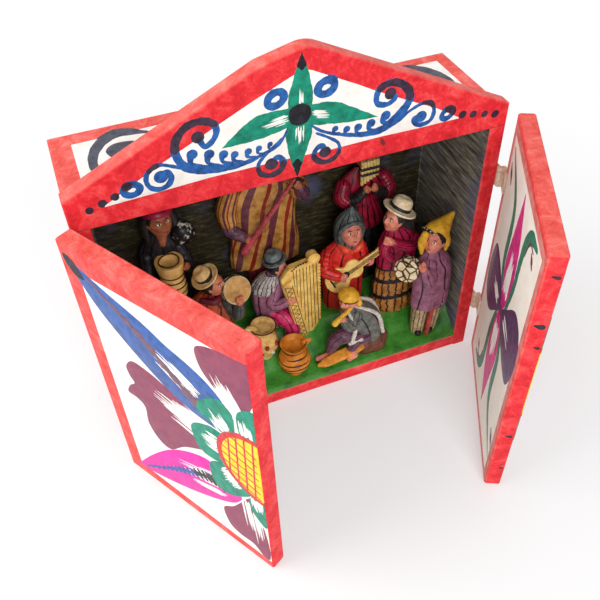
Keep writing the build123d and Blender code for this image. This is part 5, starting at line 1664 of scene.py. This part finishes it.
class RETABLO_OT_pots(bpy.types.Operator):
    """Throw the pots and set the boulder."""

    bl_idname = "retablo.pots"
    bl_label = "Pots and boulder"

    def execute(self, context):
        upright = (0, 0, 1)
        form = Form("pitcher_pot", on_ground("pitcher"))
        rows = [
            (-2.4, 5.2), (-2, 5.6), (0.5, 5.9), (4, 8.6), (7.5, 9.2), (11, 8.1), (13.6, 6.0), (15.2, 5.7),
            (17.4, 6.6), (19.4, 7.6), (19.8, 7.5), (19.5, 6.6), (17.4, 5.2), (16.6, 3.0), (16.5, 0.1),
        ]
        spool(form, (0, 0, 0), upright, rows, "clay", 48, 90)
        tube(form, [(6.0, 0, 17.8), (8.2, 0, 18.8), (9.8, 0, 19.2)], [2.0, 1.6, 0.9], "clay")
        swell = 0.34 * np.sin(np.linspace(0.2, 2.94, 14)) + 0.1
        for height, radius, start in (
            (3.4, 8.25, 2.6), (6.4, 9.15, 3.4), (9.4, 8.8, 2.9), (12.4, 7.1, 3.6), (17.0, 6.5, 2.8),
        ):
            a = np.linspace(start, start + 2.6, 14)
            hoop(form, a, radius, height + 0.4 * np.sin(3 * a), swell, 30)
        form.piece("box", "paste_clay_brown", "pitcher")

        form = Form("painted_jug_pot", on_ground("painted_jug"))
        rows = [
            (-5, 4.6), (-4, 5.0), (0, 5.2), (4.5, 7.8), (8.5, 8.0), (12.5, 6.5), (15, 5.3), (18, 6.2),
            (20, 7.0), (20.2, 6.8), (19.8, 5.6), (19.0, 4.4), (18.6, 2.4), (18.6, 0.1),
        ]
        spool(form, (0, 0, 0), upright, rows, "jug_yellow", 44, 80)
        tube(form, [(-5, 0.4, 18.4), (-7.4, 0.4, 20), (-9.4, 0, 20.6)], [2.4, 2.2, 1.2], "jug_yellow")
        for i in range(15):
            turn = 0.42 * i
            radius, height = (7.9, 9.4) if i % 2 else (7.6, 4.6)
            dab = (radius * np.cos(turn), radius * np.sin(turn), height)
            ball(form, dab, (1.3, 1.3, 1.5), "jug_red" if i % 3 else "lace", 14, 10)
        around = np.linspace(0, TURN, 25)
        hoop(form, around, 7.3, 20.2, 0.35)
        form.piece("box", "paste_cream", "painted_jug")

        form = Form("ringed_jar_pot", on_ground("jar_woman") + (1.8, -11.2, 33.0))
        rows = [
            (0, 4.6), (0.4, 4.9), (4, 6.6), (9, 7.0), (14, 6.4), (17, 6.1), (21, 6.8), (24, 7.3), (26, 7.5),
            (26.4, 7.2), (26.2, 5.6), (25, 4.9), (23.9, 3.8), (23.8, 0.1),
        ]
        spool(form, (0, 0, 0), upright, rows, "ringed_jar", 44, 90)
        for height, radius in ((8, 6.95), (11.5, 6.8), (15, 6.3), (18.5, 6.35), (26.25, 5.3)):
            hoop(form, around, radius, height + 0.3 * np.sin(2 * around), 0.4)
        form.piece("box", "paste_cream", "ringed_jar")

        form = Form("boulder_rock", on_ground("flute_player"))
        rows = [
            (-3, 10.6, 7.5, -0.5), (1, 11.0, 7.5, -0.5), (5, 11.0, 7.5, -0.5), (9, 9.4, 6.5, 0),
            (11, 6.4, 5.2, 0.4), (11.5, 3.5, 5.0, 0.5),
        ]
        loft(form, rows, 0.67, "stone_brown", 5, 0.05)
        form.piece("box", "paste_stone_brown", "boulder")
        return {"FINISHED"}


class RETABLO_OT_stage(bpy.types.Operator):
    """Set the floor, the soft light and the camera."""

    bl_idname = "retablo.stage"
    bl_label = "Stage"

    def execute(self, context):
        scene = context.scene
        scene.view_settings.view_transform = "Standard"
        # Seamless studio paper: by the box four tenths white glow over the matt, which lightens its shadow,
        # plain white glow from 0.34 m on, so that only the shadow shows
        paper, add = new_tree("studio_paper")
        matt = add("BsdfDiffuse", {"Color": colours().floor})
        clear = add("Emission", {"Color": linear("FFFFFF"), "Strength": 1.0})
        reach = add("VectorMath", {0: add("TexCoord")["Object"]}, operation="LENGTH")
        fade = add("MapRange", {"Value": reach["Value"], "From Min": 0.14, "From Max": 0.34, "To Min": 0.4})
        mixed = add("MixShader", {0: fade["Result"], 1: matt["BSDF"], 2: clear["Emission"]})
        add("OutputMaterial", {"Surface": mixed["Shader"]})
        span, drop = sizes().floor / MM / 2, -0.05
        form = Form("floor")
        form.grid(np.array([[(-span, y, drop), (span, y, drop)] for y in (-span, span)]), paper)
        form.piece()

        # Even white to the eye and in reflections, a dimmer dome for the light on the box
        scene.world = bpy.data.worlds.new("studio")
        scene.world.use_nodes = True
        scene.world.node_tree.nodes.clear()
        add = partial(add_node, scene.world.node_tree)
        path = add("LightPath")
        seen = path["Is Camera Ray"]
        for kind in ("Is Glossy Ray", "Is Transmission Ray"):
            seen = add("Math", {0: seen, 1: path[kind]}, operation="MAXIMUM")[0]
        glow = {"Color": linear("FFFFFF")}
        dome, white = (add("Background", {**glow, "Strength": power})["Background"] for power in (0.56, 1.0))
        add("OutputWorld", {"Surface": add("MixShader", {0: seen, 1: dome, 2: white})["Shader"]})

        aim = (0, 0, 0.08)
        for name, spot, width, power in (
            ("front_softbox", (-0.1, -1.0, 0.7), 0.5, 6.6),
            ("left_softbox", (-0.85, 0.1, 0.75), 0.8, 8.0),
        ):
            lamp = bpy.data.lights.new(name, "AREA")
            lamp.size, lamp.energy = width, power
            holder = bpy.data.objects.new(name, lamp)
            scene.collection.objects.link(holder)
            back = unit(np.array(spot) - aim)
            side = unit(np.cross((0, 0, 1), back))
            turn = np.column_stack([side, np.cross(back, side), back])
            holder.matrix_world = Matrix.Translation(spot) @ Matrix(turn.tolist()).to_4x4()

        # The camera as fitted to the case's corners and to the doors
        camera = bpy.data.cameras.new("camera")
        camera.sensor_fit, camera.sensor_width, camera.lens = "HORIZONTAL", 36.0, sizes().lens
        camera.clip_start, camera.clip_end = 0.01, 50.0
        holder = bpy.data.objects.new("camera", camera)
        scene.collection.objects.link(holder)
        turn = Matrix((
            (0.93345, 0.27400, -0.23151), (-0.35743, 0.65606, -0.66470), (-0.03025, 0.70321, 0.71033),
        ))
        holder.matrix_world = Matrix.Translation((-0.089063, -0.273735, 0.335407)) @ turn.to_4x4()
        scene.camera = holder
        return {"FINISHED"}


OPERATORS = (
    RETABLO_OT_case,
    RETABLO_OT_gable,
    RETABLO_OT_roof,
    RETABLO_OT_doors,
    RETABLO_OT_straps,
    RETABLO_OT_ground,
    RETABLO_OT_players,
    RETABLO_OT_instruments,
    RETABLO_OT_pots,
    RETABLO_OT_stage,
)


class RETABLO_PT_panel(bpy.types.Panel):
    """The box's pieces, paints and sizes."""

    bl_idname = "RETABLO_PT_panel"
    bl_label = "Retablo box"
    bl_space_type = "VIEW_3D"
    bl_region_type = "UI"
    bl_category = "Retablo"

    def draw(self, context):
        for group in (context.scene.retablo_colours, context.scene.retablo_sizes):
            for name in group.__annotations__:
                self.layout.prop(group, name)
        for operator in OPERATORS:
            self.layout.operator(operator.bl_idname)


CLASSES = (RetabloColours, RetabloSizes, *OPERATORS, RETABLO_PT_panel)


def register():
    """Add the classes and the scene's properties."""
    for part in CLASSES:
        bpy.utils.register_class(part)
    bpy.types.Scene.retablo_colours = PointerProperty(type=RetabloColours)
    bpy.types.Scene.retablo_sizes = PointerProperty(type=RetabloSizes)


def unregister():
    """Remove what register added."""
    del bpy.types.Scene.retablo_sizes
    del bpy.types.Scene.retablo_colours
    for part in reversed(CLASSES):
        bpy.utils.unregister_class(part)


def main():
    """Dress the box piece by piece."""
    register()
    bpy.ops.retablo.case()
    bpy.ops.retablo.gable()
    bpy.ops.retablo.roof()
    bpy.ops.retablo.doors()
    bpy.ops.retablo.straps()
    bpy.ops.retablo.ground()
    bpy.ops.retablo.players()
    bpy.ops.retablo.instruments()
    bpy.ops.retablo.pots()
    bpy.ops.retablo.stage()


if __name__ == "__main__":
    main()
